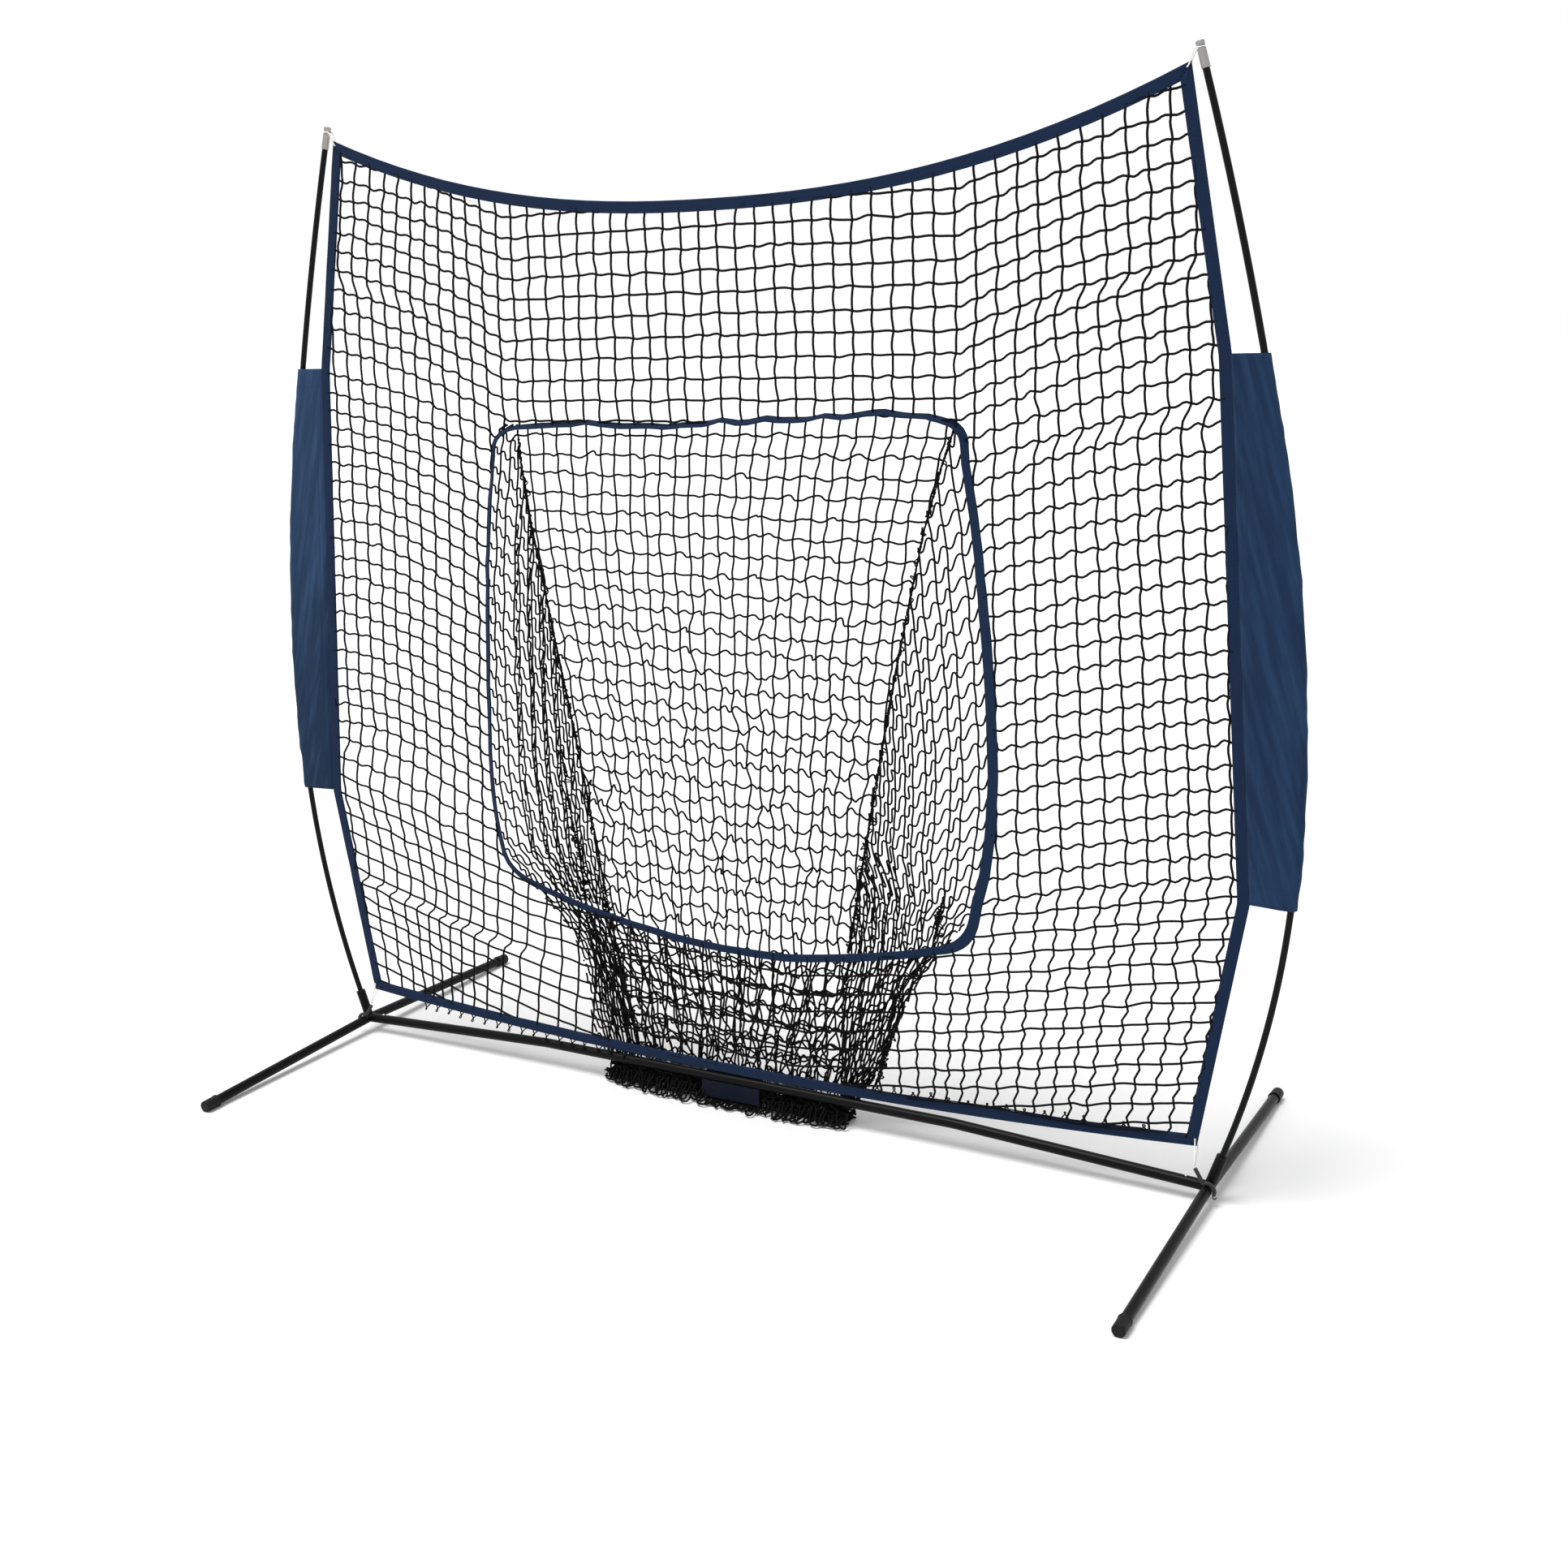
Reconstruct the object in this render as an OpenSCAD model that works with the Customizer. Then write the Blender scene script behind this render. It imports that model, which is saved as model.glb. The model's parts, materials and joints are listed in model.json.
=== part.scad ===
// Pitching target net: a bow-framed ball stop with a hanging catch pocket.
// +X runs along the crossbar, +Y to the back (the pocket's side) and +Z up. The origin is on
// the ground, under the middle of the crossbar. Every size is in millimetres.

/* [Base frame] */
// Distance between the centre lines of the two legs
leg_spacing = 2134; // [1900:2:2300]
// Reach of a leg from the crossbar to the end of its tube, to the front and to the back
leg_reach = 545; // [400:5:700]
// Height of the leg's middle over its ends
leg_rise = 20.5; // [5:0.5:40]
// Outer diameter of the leg, crossbar and socket tubes
tube_d = 22; // [20:0.5:26]
// Wall of the steel tubes
tube_wall = 1.5; // [1:0.1:2]
// Height of the crossbar's level middle over its ends
crossbar_rise = 26; // [10:1:40]
// Half length of the crossbar's level middle, between its two bends
level_half = 520; // [400:10:700]
// Length of the crossbar stub that is welded to the leg
stub_len = 100; // [80:1:140]
// Length of the swaged crossbar end inside the stub
swage_len = 75; // [60:1:78]
// Length of the swaged spigot at the crossbar's middle joint
spigot_len = 150; // [130:1:200]
// Gap between a tube and what slides inside it
slide_gap = 0.1; // [0.05:0.01:0.2]

/* [End caps] */
// Outer diameter of a leg's end cap
cap_d = 26; // [24:0.5:32]
// Length of an end cap, from its open rim to its end
cap_len = 38; // [25:1:60]
// Depth of the tube inside the cap
cap_bore = 26; // [15:1:28]
// Extra radius of the rim at the cap's open end
cap_rim = 0.8; // [0:0.1:2]
// How deep the flat sole is cut into the lowest point of the cap
sole_cut = 0.75; // [0.5:0.05:1.5]

/* [Snap buttons] */
// Diameter of the spring buttons that lock the crossbar
button_d = 6.4; // [5:0.1:8]
// How far a button stands out of its tube
button_out = 3; // [2:0.1:4]
// Distance of the corner button from the leg's centre line
button_at = 47; // [40:1:55]
// Distance of the middle button from the crossbar's middle
mid_button_at = 112; // [100:1:120]
// Gap round a button in its hole
button_gap = 0.05; // [0.03:0.01:0.1]
// Length of the leaf spring under a button
leaf_len = 42; // [30:1:50]
// Thickness of the leaf spring
leaf_t = 0.8; // [0.5:0.1:1]

/* [Bow poles] */
// Diameter of the fibreglass pole
pole_d = 12.7; // [10:0.1:14]
// Outward lean of the pole socket
socket_lean = 18.85; // [10:0.05:24]
// Length of the pole socket above the middle of the leg
socket_len = 70; // [50:1:80]
// Straight length at the foot of the pole
pole_foot = 85; // [84:1:110]
// Length of the lower pole section past its straight foot
lower_len = 680; // [600:5:720]
// Length of the middle pole section
middle_len = 680; // [600:5:720]
// Length of the upper pole section
upper_len = 658; // [600:2:700]
// Bend radius of the lower section
lower_bend = 2100; // [1900:10:2600]
// Bend radius of the middle section
middle_bend = 3450; // [3000:10:4200]
// Bend radius of the upper section
upper_bend = 7700; // [5500:50:12000]
// Length of the sleeves that couple the sections
coupler_len = 90; // [60:2:120]
// Wall of those couplers
coupler_wall = 1.4; // [1:0.1:2]
// Gap round the pole in its bush and tip
pole_gap = 0.1; // [0.05:0.01:0.2]
// Gap round the pole in a coupler
coupler_gap = 0.25; // [0.2:0.01:0.5]
// Gap between the ends of two pole sections
section_gap = 0.3; // [0.1:0.1:1]
// Thickness of the rim of the bush on top of the socket
bush_rim = 2; // [1:0.5:4]

/* [Pole tips] */
// Length of the metal ferrule on the tip of a pole
tip_len = 47; // [40:1:60]
// Outer diameter of the ferrule
tip_d = 15.6; // [15:0.2:18]
// Diameter of the neck that holds the corner loop
neck_d = 9.6; // [7:0.2:11]
// Width of the groove at the neck
neck_w = 5; // [4:0.5:7]
// Height of the knob over the groove
knob_h = 8.5; // [6:0.5:12]

/* [Face net] */
// Side of a square of the netting, knot to knot
mesh = 44.45; // [38:0.05:50]
// Every how many squares a cord is drawn in the face
mesh_step = 3; // [3:1:5]
// Thickness of the netting cord
cord_d = 3.6; // [2:0.1:4]
// Width of the webbing round the face
band_w = 24; // [15:1:30]
// Thickness of the webbing
band_t = 5; // [4:0.5:6]
// Distance of the face's top corner inwards from the tip of the pole
top_corner_in = 13; // [8:1:30]
// Distance of the face's top corner down from the tip of the pole
top_corner_down = 30; // [20:1:50]
// How far the top edge sags in the middle
top_sag = 173; // [100:1:240]
// Power of the top edge's sag curve
top_sag_power = 2.3; // [2:0.1:3]
// Distance of the face's bottom corner inwards from the leg
bottom_corner_in = 27; // [20:1:45]
// Height of the face's bottom corner over the middle of the leg
bottom_corner_up = 80; // [70:1:100]
// Gap between the bottom webbing and the crossbar under it
bottom_clear = 2; // [1:0.5:8]
// Gap between pieces of the face that are sewn together
sewn_gap = 0.2; // [0.1:0.05:0.5]

/* [Side sleeves] */
// Height of the lower end of the sleeve
sleeve_low = 618; // [500:2:760]
// Height of the upper end of the sleeve
sleeve_high = 1622; // [1480:2:1700]
// Width of the sleeve at its lower end, over the pole
sleeve_w_low = 84; // [70:1:110]
// Width of the sleeve at its upper end, over the pole
sleeve_w_high = 65; // [50:1:90]
// Thickness of the sleeve's cloth
cloth_t = 1.4; // [1:0.1:2]
// Room between the couplers and the cloth
sleeve_room = 1; // [0.6:0.1:3]

/* [Opening] */
// Height of the opening's top edge
open_top = 1506; // [1450:2:1560]
// Lowest point of the opening's bottom edge
open_low = 370; // [330:2:420]
// Half width of the opening at its top corners
open_half_top = 562; // [500:2:600]
// Half width of the opening half way up
open_half_mid = 614; // [570:2:640]
// Half width of the opening at its bottom corners
open_half_low = 582; // [520:2:610]
// Radius of the top corners
open_round_top = 80; // [40:2:120]
// Radius of the bottom corners
open_round_low = 82; // [40:2:140]
// How far the bottom edge sags between its corners
open_sag = 72; // [20:2:120]
// Width of the binding round the opening
binding_w = 18; // [12:1:24]

/* [Catch pocket] */
// Thickness of the pocket's netting as a sheet
pocket_t = 2; // [1.5:0.1:3]
// Depth that the pocket hangs behind the face
pocket_depth = 42; // [30:1:60]
// Half width of the back panel at the pocket's foot
seam_low = 280; // [240:2:300]
// Distance of the laced seam inwards from the opening's top corner, at the pocket's top
seam_in = 47; // [30:1:80]
// Half width of the gathered pocket at its foot
pocket_foot = 318; // [310:2:360]
// How far the pocket's foot hangs to the left of the opening's middle
pocket_drift = 40; // [0:2:80]
// Number of folds in each side panel
side_folds = 6; // [3:1:8]
// Depth of those folds
fold_depth = 9; // [2:0.5:12]
// Diameter of the cord that laces the pocket's seams
lacing_d = 5; // [3:0.5:7]
// Clear height under the netting that is gathered on the ground
ground_gap = 3; // [1:0.5:5]
// How far the gathered netting reaches behind the pocket
bundle_reach = 38; // [20:1:60]
// How far the gathered netting reaches in front of the closing flap
bundle_front = 42; // [20:1:60]

/* [Closing flap] */
// Width of the flap along the crossbar
flap_w = 147; // [100:1:180]
// Distance of the flap's middle from the crossbar's middle
flap_at = -12; // [-20:1:20]
// Length of the part that hangs under the crossbar
flap_drop = 38; // [30:1:40]
// Thickness of the flap
flap_t = 1.5; // [1:0.1:2]

/* [Corner ties] */
// Diameter of the white elastic at the corners
elastic_d = 2.8; // [2:0.1:3.6]
// Diameter of the black hooked strap
strap_d = 8; // [6:0.5:9]
// Diameter of the wire hook
hook_d = 2.4; // [2:0.1:3]
// Distance of the strap in front of the crossbar's middle
strap_front = 20; // [18:0.5:26]

/* [Hidden] */
$fn = 64;

steel = "#1c1c1e";
navy = "#22375c";
black_cord = "#0b0b0b";

half = leg_spacing / 2;
tube_r = tube_d / 2;
bore_r = tube_r - tube_wall;
swage_r = bore_r - slide_gap;
swage_bore = swage_r - tube_wall;
foot_z = cap_d / 2 - sole_cut + (cap_len - cap_bore) * leg_rise / leg_reach;
corner_z = foot_z + leg_rise;
bar_z = corner_z + crossbar_rise;
bar_tilt = atan(crossbar_rise / (half - level_half));
bend_at = (half - level_half) / cos(bar_tilt);
pole_r = pole_d / 2;
fit_r = pole_r + pole_gap;
coupler_bore = pole_r + coupler_gap;
coupler_r = coupler_bore + coupler_wall;
small = 0.3;

// ---- points of the bow pole, in the XZ plane of the right side ----
section_len = [lower_len, middle_len, upper_len];
section_bend = [lower_bend, middle_bend, upper_bend];
function turn(i) = section_len[i] / section_bend[i] * 180 / PI;
function heading(i) = i == 0 ? socket_lean : heading(i - 1) - turn(i - 1);
function along(a) = [sin(a), cos(a)];
function foot_pt(s) = [half, corner_z] + s * along(socket_lean);
function arc_centre(i) = section_pt(i) + section_bend[i] * [-cos(heading(i)), sin(heading(i))];
function section_pt(i) = i == 0 ? foot_pt(pole_foot)
    : arc_centre(i - 1) + section_bend[i - 1] * [cos(heading(i)), -sin(heading(i))];
pole_top = section_pt(3);
tip_heading = heading(3);
function arc_x(i, z) = arc_centre(i).x + sqrt(pow(section_bend[i], 2) - pow(z - arc_centre(i).y, 2));
function pole_x(z) = z < section_pt(1).y ? arc_x(0, z) : z < section_pt(2).y ? arc_x(1, z) : arc_x(2, z);

// ---- outline of the face net ----
tip_end = pole_top + tip_len * along(tip_heading);
neck_pt = pole_top + (tip_len - knob_h - neck_w / 2) * along(tip_heading);
top_corner = tip_end - [top_corner_in, top_corner_down];
edge_high = [pole_x(sleeve_high) + coupler_r - sleeve_w_high, sleeve_high];
edge_low = [pole_x(sleeve_low) + coupler_r - sleeve_w_low, sleeve_low];
bottom_corner = [half - bottom_corner_in, corner_z + bottom_corner_up];
bottom_edge = bar_z + tube_r + bottom_clear;
top_steps = 16;
bottom_steps = 8;
function top_z(x) = top_corner.y - top_sag * (1 - pow(abs(x) / top_corner.x, top_sag_power));
function low_z(x) = bottom_edge + (bottom_corner.y - bottom_edge) * pow(x / bottom_corner.x, 2);
function ramp(i, n, w) = w * (2 * i / n - 1);
face = concat(
    [for (i = [0:top_steps]) let (x = ramp(i, top_steps, top_corner.x)) [x, top_z(x)]],
    [edge_high, edge_low],
    [for (i = [0:bottom_steps]) let (x = -ramp(i, bottom_steps, bottom_corner.x)) [x, low_z(x)]],
    [[-edge_low.x, edge_low.y], [-edge_high.x, edge_high.y]]);

// moves every side of a clockwise outline outwards by d
function unit(v) = v / norm(v);
function side_normal(a, b) = let (u = unit(b - a)) [-u.y, u.x];
function grown(pts, d) = let (n = len(pts)) [for (i = [0:n - 1])
    let (a = side_normal(pts[(i + n - 1) % n], pts[i]), b = side_normal(pts[i], pts[(i + 1) % n]))
    pts[i] + d * (a + b) / (1 + a * b)];

// ---- outline of the opening ----
function bezier(a, c, b, n) = [for (i = [1:n]) let (t = i / n)
    (1 - t) * (1 - t) * a + 2 * t * (1 - t) * c + t * t * b];
low_corner_z = open_low + open_sag;
open_a = [open_half_top - open_round_top, open_top];
open_b = [open_half_top, open_top - open_round_top];
open_c = [open_half_low, low_corner_z + open_round_low];
open_d = [open_half_low - open_round_low, low_corner_z];
side_pull = [2 * open_half_mid - (open_half_top + open_half_low) / 2, (open_b.y + open_c.y) / 2];
open_half = concat([open_a], bezier(open_a, [open_half_top, open_top], open_b, 5),
    bezier(open_b, side_pull, open_c, 8),
    bezier(open_c, [open_half_low - 8, low_corner_z + 16], open_d, 5),
    bezier(open_d, [open_d.x / 2, open_low], [0, open_low], 5));
opening = concat(open_half, [for (i = [len(open_half) - 2:-1:0]) [-open_half[i].x, open_half[i].y]]);
function open_x(z) = lookup(z, [for (i = [len(open_half) - 1:-1:0]) [open_half[i].y, open_half[i].x]]);

// ---- shape of the hanging pocket ----
pocket_top = open_top - binding_w / 2;
pocket_low = bar_z - tube_r - button_out - 0.6;
net_back = band_t / 2 + small;
bar_back = tube_r + 3 * flap_t + 1;
seam_high = open_half_top - seam_in;
function fall(z) = (pocket_top - z) / (pocket_top - pocket_low);
function seam_x(z) = seam_low + (seam_high - seam_low) * pow(max(0, 1 - fall(z)), 1.1);
function drift(z) = -pocket_drift * fall(z);
function drift_out(z) = -pocket_drift * min(1, max(0, (open_c.y - z) / (open_c.y - pocket_low)));
function back_y(z) = net_back + pocket_depth * (1 - pow(max(0, 1 - fall(z)), 2));
function smooth(t) = let (u = min(1, max(0, t))) u * u * (3 - 2 * u);
function front_y(z) = net_back + (bar_back - net_back) * smooth((bar_z + 110 - z) / 70);
function outer_x(z) = z > open_c.y ? open_x(z) + binding_w / 2
    : pocket_foot + (open_half_low + binding_w / 2 - pocket_foot)
        * pow(max(0, z - pocket_low) / (open_c.y - pocket_low), 1.8);

// ---- plain helpers ----
// round bar from a to b
module bar(a, b, r) {
    v = b - a;
    translate(a) rotate([0, acos(v.z / norm(v)), atan2(v.y, v.x)]) cylinder(h = norm(v), r = r);
}
// a piece of the pole's arc i, from length s to length s + l
module pole_arc(i, s, l) {
    c = arc_centre(i);
    start = heading(i) - s / section_bend[i] * 180 / PI;
    translate([c.x, 0, c.y]) rotate([90, 0, 0]) rotate([0, 0, -start])
        rotate_extrude(angle = l / section_bend[i] * 180 / PI, $fn = 96)
            translate([section_bend[i], 0]) children();
}
// plate in the plane of the face, centred on it
module plate(t) {
    rotate([90, 0, 0]) translate([0, 0, -t / 2]) linear_extrude(t) children();
}
// left-hand copy of what is built on the right
module on(side) {
    if (side < 0) mirror([1, 0, 0]) children();
    else children();
}
// closed sheet of thickness t along Y, from rows of points
module sheet(rows, t) {
    nr = len(rows);
    nc = len(rows[0]);
    n = nr * nc;
    front = [for (r = rows) for (p = r) p];
    back = [for (p = front) p + [0, t, 0]];
    rim = concat([for (j = [0:nc - 1]) j], [for (i = [1:nr - 1]) i * nc + nc - 1],
        [for (j = [nc - 2:-1:0]) (nr - 1) * nc + j], [for (i = [nr - 2:-1:1]) i * nc]);
    m = len(rim);
    polyhedron(concat(front, back), concat(
        [for (i = [0:nr - 2]) for (j = [0:nc - 2]) let (a = i * nc + j) for (f = [
            [a, a + 1, a + nc + 1], [a, a + nc + 1, a + nc],
            [n + a, n + a + nc + 1, n + a + 1], [n + a, n + a + nc, n + a + nc + 1]]) f],
        [for (k = [0:m - 1]) let (a = rim[k], b = rim[(k + 1) % m]) for (f = [
            [a, n + a, n + b], [a, n + b, b]]) f]), convexity = 10);
}
// closed tube of rings, all with the same number of points
module skin(rings) {
    nr = len(rings);
    m = len(rings[0]);
    last = (nr - 1) * m;
    mid = nr * m;
    polyhedron(concat([for (r = rings) for (p = r) p],
            [ring_centre(rings[0]), ring_centre(rings[nr - 1])]),
        concat([for (i = [0:nr - 2]) for (k = [0:m - 1]) let (a = i * m + k, b = i * m + (k + 1) % m)
                for (f = [[a, b + m, b], [a, a + m, b + m]]) f],
            [for (k = [0:m - 1]) [k, (k + 1) % m, mid]],
            [for (k = [0:m - 1]) [last + (k + 1) % m, last + k, mid + 1]]), convexity = 6);
}
function ring_centre(r) = [for (k = [0:2]) [for (p = r) p[k]] * [for (p = r) 1] / len(r)];
// tube of diameter d along a path of points, with n sides
function tangent(path, i) = unit(path[min(i + 1, len(path) - 1)] - path[max(i - 1, 0)]);
function cord_ring(p, t, d, n) = let (
    u = unit(cross(abs(t.y) < 0.9 ? [0, 1, 0] : [1, 0, 0], t)), v = cross(t, u))
    [for (k = [0:n - 1]) p + d / 2 * (cos(360 * k / n) * u + sin(360 * k / n) * v)];
module cord(path, d, n = 8) {
    skin([for (i = [0:len(path) - 1]) cord_ring(path[i], tangent(path, i), d, n)]);
}

// ---- base frame ----
module leg_shape(r, end) {
    c = [half, 0, corner_z];
    for (s = [-1, 1]) bar(c, c + end * [0, s * leg_reach, -leg_rise], r);
    translate(c) sphere(r);
}
module leg() {
    color(steel) difference() {
        leg_shape(tube_r, 1);
        leg_shape(bore_r, 1.01);
    }
}
function bar_pt(d) = [half - d * cos(bar_tilt), 0, corner_z + d * sin(bar_tilt)];
bar_up = [sin(bar_tilt), 0, cos(bar_tilt)];
weld_gap = 0.4;
module leg_cope() {
    translate([half, 0, corner_z]) rotate([90, 0, 0])
        cylinder(h = 4 * tube_d, r = tube_r + weld_gap, center = true);
}
module button_hole(p, up) {
    bar(p, p + 2 * tube_r * up, button_d / 2 + button_gap);
}
module crossbar_stub() {
    color(steel) difference() {
        bar(bar_pt(0), bar_pt(stub_len), tube_r);
        bar(bar_pt(-1), bar_pt(stub_len + 1), bore_r);
        leg_cope();
        button_hole(bar_pt(button_at), bar_up);
    }
}
shoulder = 6;
bend_r = 300;
bend_in = bend_r * tan(bar_tilt / 2);
bend_over = 180 / PI / bend_r;
hair = 0.03;
module ring(r_out, r_in) {
    difference() {
        circle(r_out);
        circle(r_in);
    }
}
module pipe(a, b, r) {
    v = b - a;
    translate(a) rotate([0, acos(v.z / norm(v)), atan2(v.y, v.x)])
        linear_extrude(norm(v)) ring(r, r - tube_wall);
}
// one crossbar half: swaged end in the stub, tilted run, bend and level run up to end_x
module crossbar_half(end_x) {
    pipe(bar_pt(stub_len - swage_len), bar_pt(stub_len + shoulder), swage_r);
    pipe(bar_pt(stub_len + slide_gap), bar_pt(bend_at - bend_in), tube_r);
    // the bend is drawn a hair thinner than the straight runs that it overlaps
    translate([level_half - bend_in, 0, bar_z - bend_r]) rotate([90, 0, 0])
        rotate([0, 0, 90 - bar_tilt - bend_over])
            rotate_extrude(angle = bar_tilt + 2 * bend_over, $fn = 720)
                translate([bend_r, 0]) ring(tube_r - hair, bore_r + hair);
    pipe([level_half - bend_in, 0, bar_z], [end_x, 0, bar_z], tube_r);
    // shoulder that joins the swaged end to the tube
    pipe(bar_pt(stub_len + slide_gap), bar_pt(stub_len + slide_gap + 2), bore_r + 0.2);
}
module crossbar_right() {
    color(steel) difference() {
        crossbar_half(slide_gap);
        button_hole(bar_pt(button_at), bar_up);
        button_hole([mid_button_at, 0, bar_z], [0, 0, -1]);
    }
}
module crossbar_left() {
    color(steel) difference() {
        union() {
            mirror([1, 0, 0]) crossbar_half(0);
            pipe([-shoulder, 0, bar_z], [spigot_len, 0, bar_z], swage_r);
            pipe([-2, 0, bar_z], [0, 0, bar_z], bore_r + 0.2);
        }
        mirror([1, 0, 0]) button_hole(bar_pt(button_at), bar_up);
        button_hole([mid_button_at, 0, bar_z], [0, 0, -1]);
    }
}
module pole_socket() {
    a = foot_pt(0);
    b = foot_pt(socket_len);
    below = foot_pt(-1);
    above = foot_pt(socket_len + 1);
    color(steel) difference() {
        bar([a.x, 0, a.y], [b.x, 0, b.y], tube_r);
        bar([below.x, 0, below.y], [above.x, 0, above.y], bore_r);
        leg_cope();
        bar(bar_pt(-tube_d), bar_pt(stub_len), tube_r + weld_gap);
    }
}
bush_start = tube_r + 3;
module socket_bush() {
    p = foot_pt(bush_start);
    color("#151515") translate([p.x, 0, p.y]) rotate([0, socket_lean, 0]) difference() {
        union() {
            cylinder(h = socket_len - bush_start, r = bore_r - slide_gap);
            translate([0, 0, socket_len - bush_start + slide_gap]) cylinder(h = bush_rim, r = tube_r);
            translate([0, 0, socket_len - bush_start - 1]) cylinder(h = 2, r = bore_r - slide_gap);
        }
        translate([0, 0, -1]) cylinder(h = socket_len + 2, r = fit_r);
    }
}
cap_tilt = atan(leg_rise / leg_reach);
module end_cap(s) {
    r = cap_d / 2;
    round_r = 3;
    color("#101010") difference() {
        translate([half, s * leg_reach, foot_z]) rotate([-s * (90 + cap_tilt), 0, 0])
            translate([0, 0, -cap_bore]) rotate_extrude() polygon(concat(
                [[0, cap_bore + slide_gap], [tube_r + slide_gap, cap_bore + slide_gap],
                    [tube_r + slide_gap, 0], [r + cap_rim, 0], [r + cap_rim, 3], [r, 4]],
                [for (a = [0:15:90]) [r - round_r + round_r * cos(a), cap_len - round_r + round_r * sin(a)]],
                [[0, cap_len]]));
        translate([half, s * leg_reach, -cap_d]) cube([4 * cap_d, 4 * cap_len, 2 * cap_d], center = true);
    }
}
// ---- snap buttons, drawn with the tube's centre at the origin and the button up ----
flange_r = button_d / 2 + 1.2;
flange_top = sqrt(pow(swage_bore, 2) - pow(flange_r, 2)) - slide_gap;
flange_t = 1;
module snap_button() {
    r = button_d / 2;
    low = flange_top - flange_t;
    color("#b9b9b4") rotate_extrude() polygon(concat(
        [[0, low], [flange_r, low], [flange_r, flange_top], [r, flange_top]],
        [for (a = [0:10:90]) [r * cos(a), tube_r + button_out - r + r * sin(a)]]));
}
leaf_w = 6;
module button_spring() {
    // the leaf runs towards the crossbar's middle, past both buttons
    top = flange_top - flange_t - slide_gap;
    low = -sqrt(pow(swage_bore, 2) - pow(leaf_w / 2, 2)) + slide_gap;
    mid = (top + low) / 2 - 1;
    pad = flange_r;
    color("#9a9a96") mirror([1, 0, 0]) rotate([90, 0, 0]) translate([0, 0, -leaf_w / 2])
        linear_extrude(leaf_w) polygon([
        [-pad, top], [pad, top], [leaf_len - 3, mid + 1], [leaf_len, mid - 1], [leaf_len - 2, low],
        [-pad, low],
        [-pad, low + leaf_t], [leaf_len - 3, low + leaf_t], [leaf_len - 1.2, mid - 1],
        [leaf_len - 4, mid], [pad, top - leaf_t], [-pad, top - leaf_t]]);
}
module at_corner_button() {
    translate(bar_pt(button_at)) rotate([0, bar_tilt, 0]) children();
}
module at_mid_button() {
    translate([mid_button_at, 0, bar_z]) rotate([180, 0, 0]) children();
}

// ---- bow poles ----
// the straight ends are drawn a hair thinner than the bent runs that they overlap
module pole_lower() {
    a = foot_pt(tube_r + 1);
    b = foot_pt(pole_foot + 1);
    color("#19191b") {
        bar([a.x, 0, a.y], [b.x, 0, b.y], pole_r - hair);
        pole_arc(0, 0, lower_len) circle(pole_r);
    }
}
module pole_middle() {
    color("#19191b") pole_arc(1, section_gap, middle_len - section_gap) circle(pole_r);
}
pole_in_tip = tip_len - knob_h - neck_w - 3;
module at_tip() {
    translate([pole_top.x, 0, pole_top.y]) rotate([0, tip_heading, 0]) children();
}
module pole_upper() {
    color("#19191b") {
        pole_arc(2, section_gap, upper_len - section_gap) circle(pole_r);
        at_tip() translate([0, 0, -1]) cylinder(h = pole_in_tip + 1 - slide_gap, r = pole_r - hair);
    }
}
module pole_couplers() {
    reach = coupler_len / 2;
    color("#1f1f21") for (i = [1, 2]) {
        pole_arc(i - 1, section_len[i - 1] - reach, reach) ring(coupler_r, coupler_bore);
        pole_arc(i, -1, reach + 1) ring(coupler_r - hair, coupler_bore + hair);
    }
}
module pole_tip() {
    r = tip_d / 2;
    color("#9b9896") at_tip() rotate_extrude() polygon(concat(
        [[0, pole_in_tip], [fit_r, pole_in_tip], [fit_r, 0], [r - 0.5, 0], [r, 0.5],
            [r, tip_len - knob_h - neck_w], [neck_d / 2, tip_len - knob_h - neck_w],
            [neck_d / 2, tip_len - knob_h], [r, tip_len - knob_h]],
        [for (a = [0:15:90]) [r - 2 + 2 * cos(a), tip_len - 2 + 2 * sin(a)]], [[0, tip_len]]));
}

// ---- face net ----
panel_x = open_half_top - 32;
pitch = mesh * mesh_step;
module gaps_in(x0, x1) {
    clear = pitch - cord_d;
    for (x = [x0:pitch:x1 - 1]) for (z = [bottom_edge:pitch:top_corner.y])
        translate([x + cord_d / 2, z + cord_d / 2]) square(clear);
}
// 2D region of the face between x0 and x1, drawn in by d from every edge
module panel_region(x0, x1, d) {
    difference() {
        intersection() {
            polygon(grown(face, -band_w - sewn_gap - d));
            translate([x0 + d, 0]) square([x1 - x0 - 2 * d, 2 * top_corner.y]);
        }
        polygon(grown(opening, binding_w / 2 + sewn_gap + d));
    }
}
module net_panel(x0, x1, z0, z1) {
    color(black_cord) plate(cord_d) intersection() {
        difference() {
            panel_region(x0, x1, 0);
            intersection() {
                panel_region(x0, x1, cord_d);
                gaps_in(x0 - pitch / 2 + cord_d / 2, x1);
            }
        }
        translate([x0, z0]) square([x1 - x0, z1 - z0]);
    }
}
mid_open = (open_top + open_low) / 2;
reach_x = half + tube_d;
high_z = tip_end.y + tube_d;
// band between the outline's points i and j and the same points drawn in
module band(i, j) {
    inner = grown(face, -band_w);
    n = len(face);
    color(navy) plate(band_t) polygon(concat(
        [for (k = [i:j]) face[k % n]], [for (k = [j:-1:i]) inner[k % n]]));
}
module opening_binding() {
    color(navy) plate(band_t) difference() {
        polygon(grown(opening, binding_w / 2));
        polygon(grown(opening, -binding_w / 2));
    }
}

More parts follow.
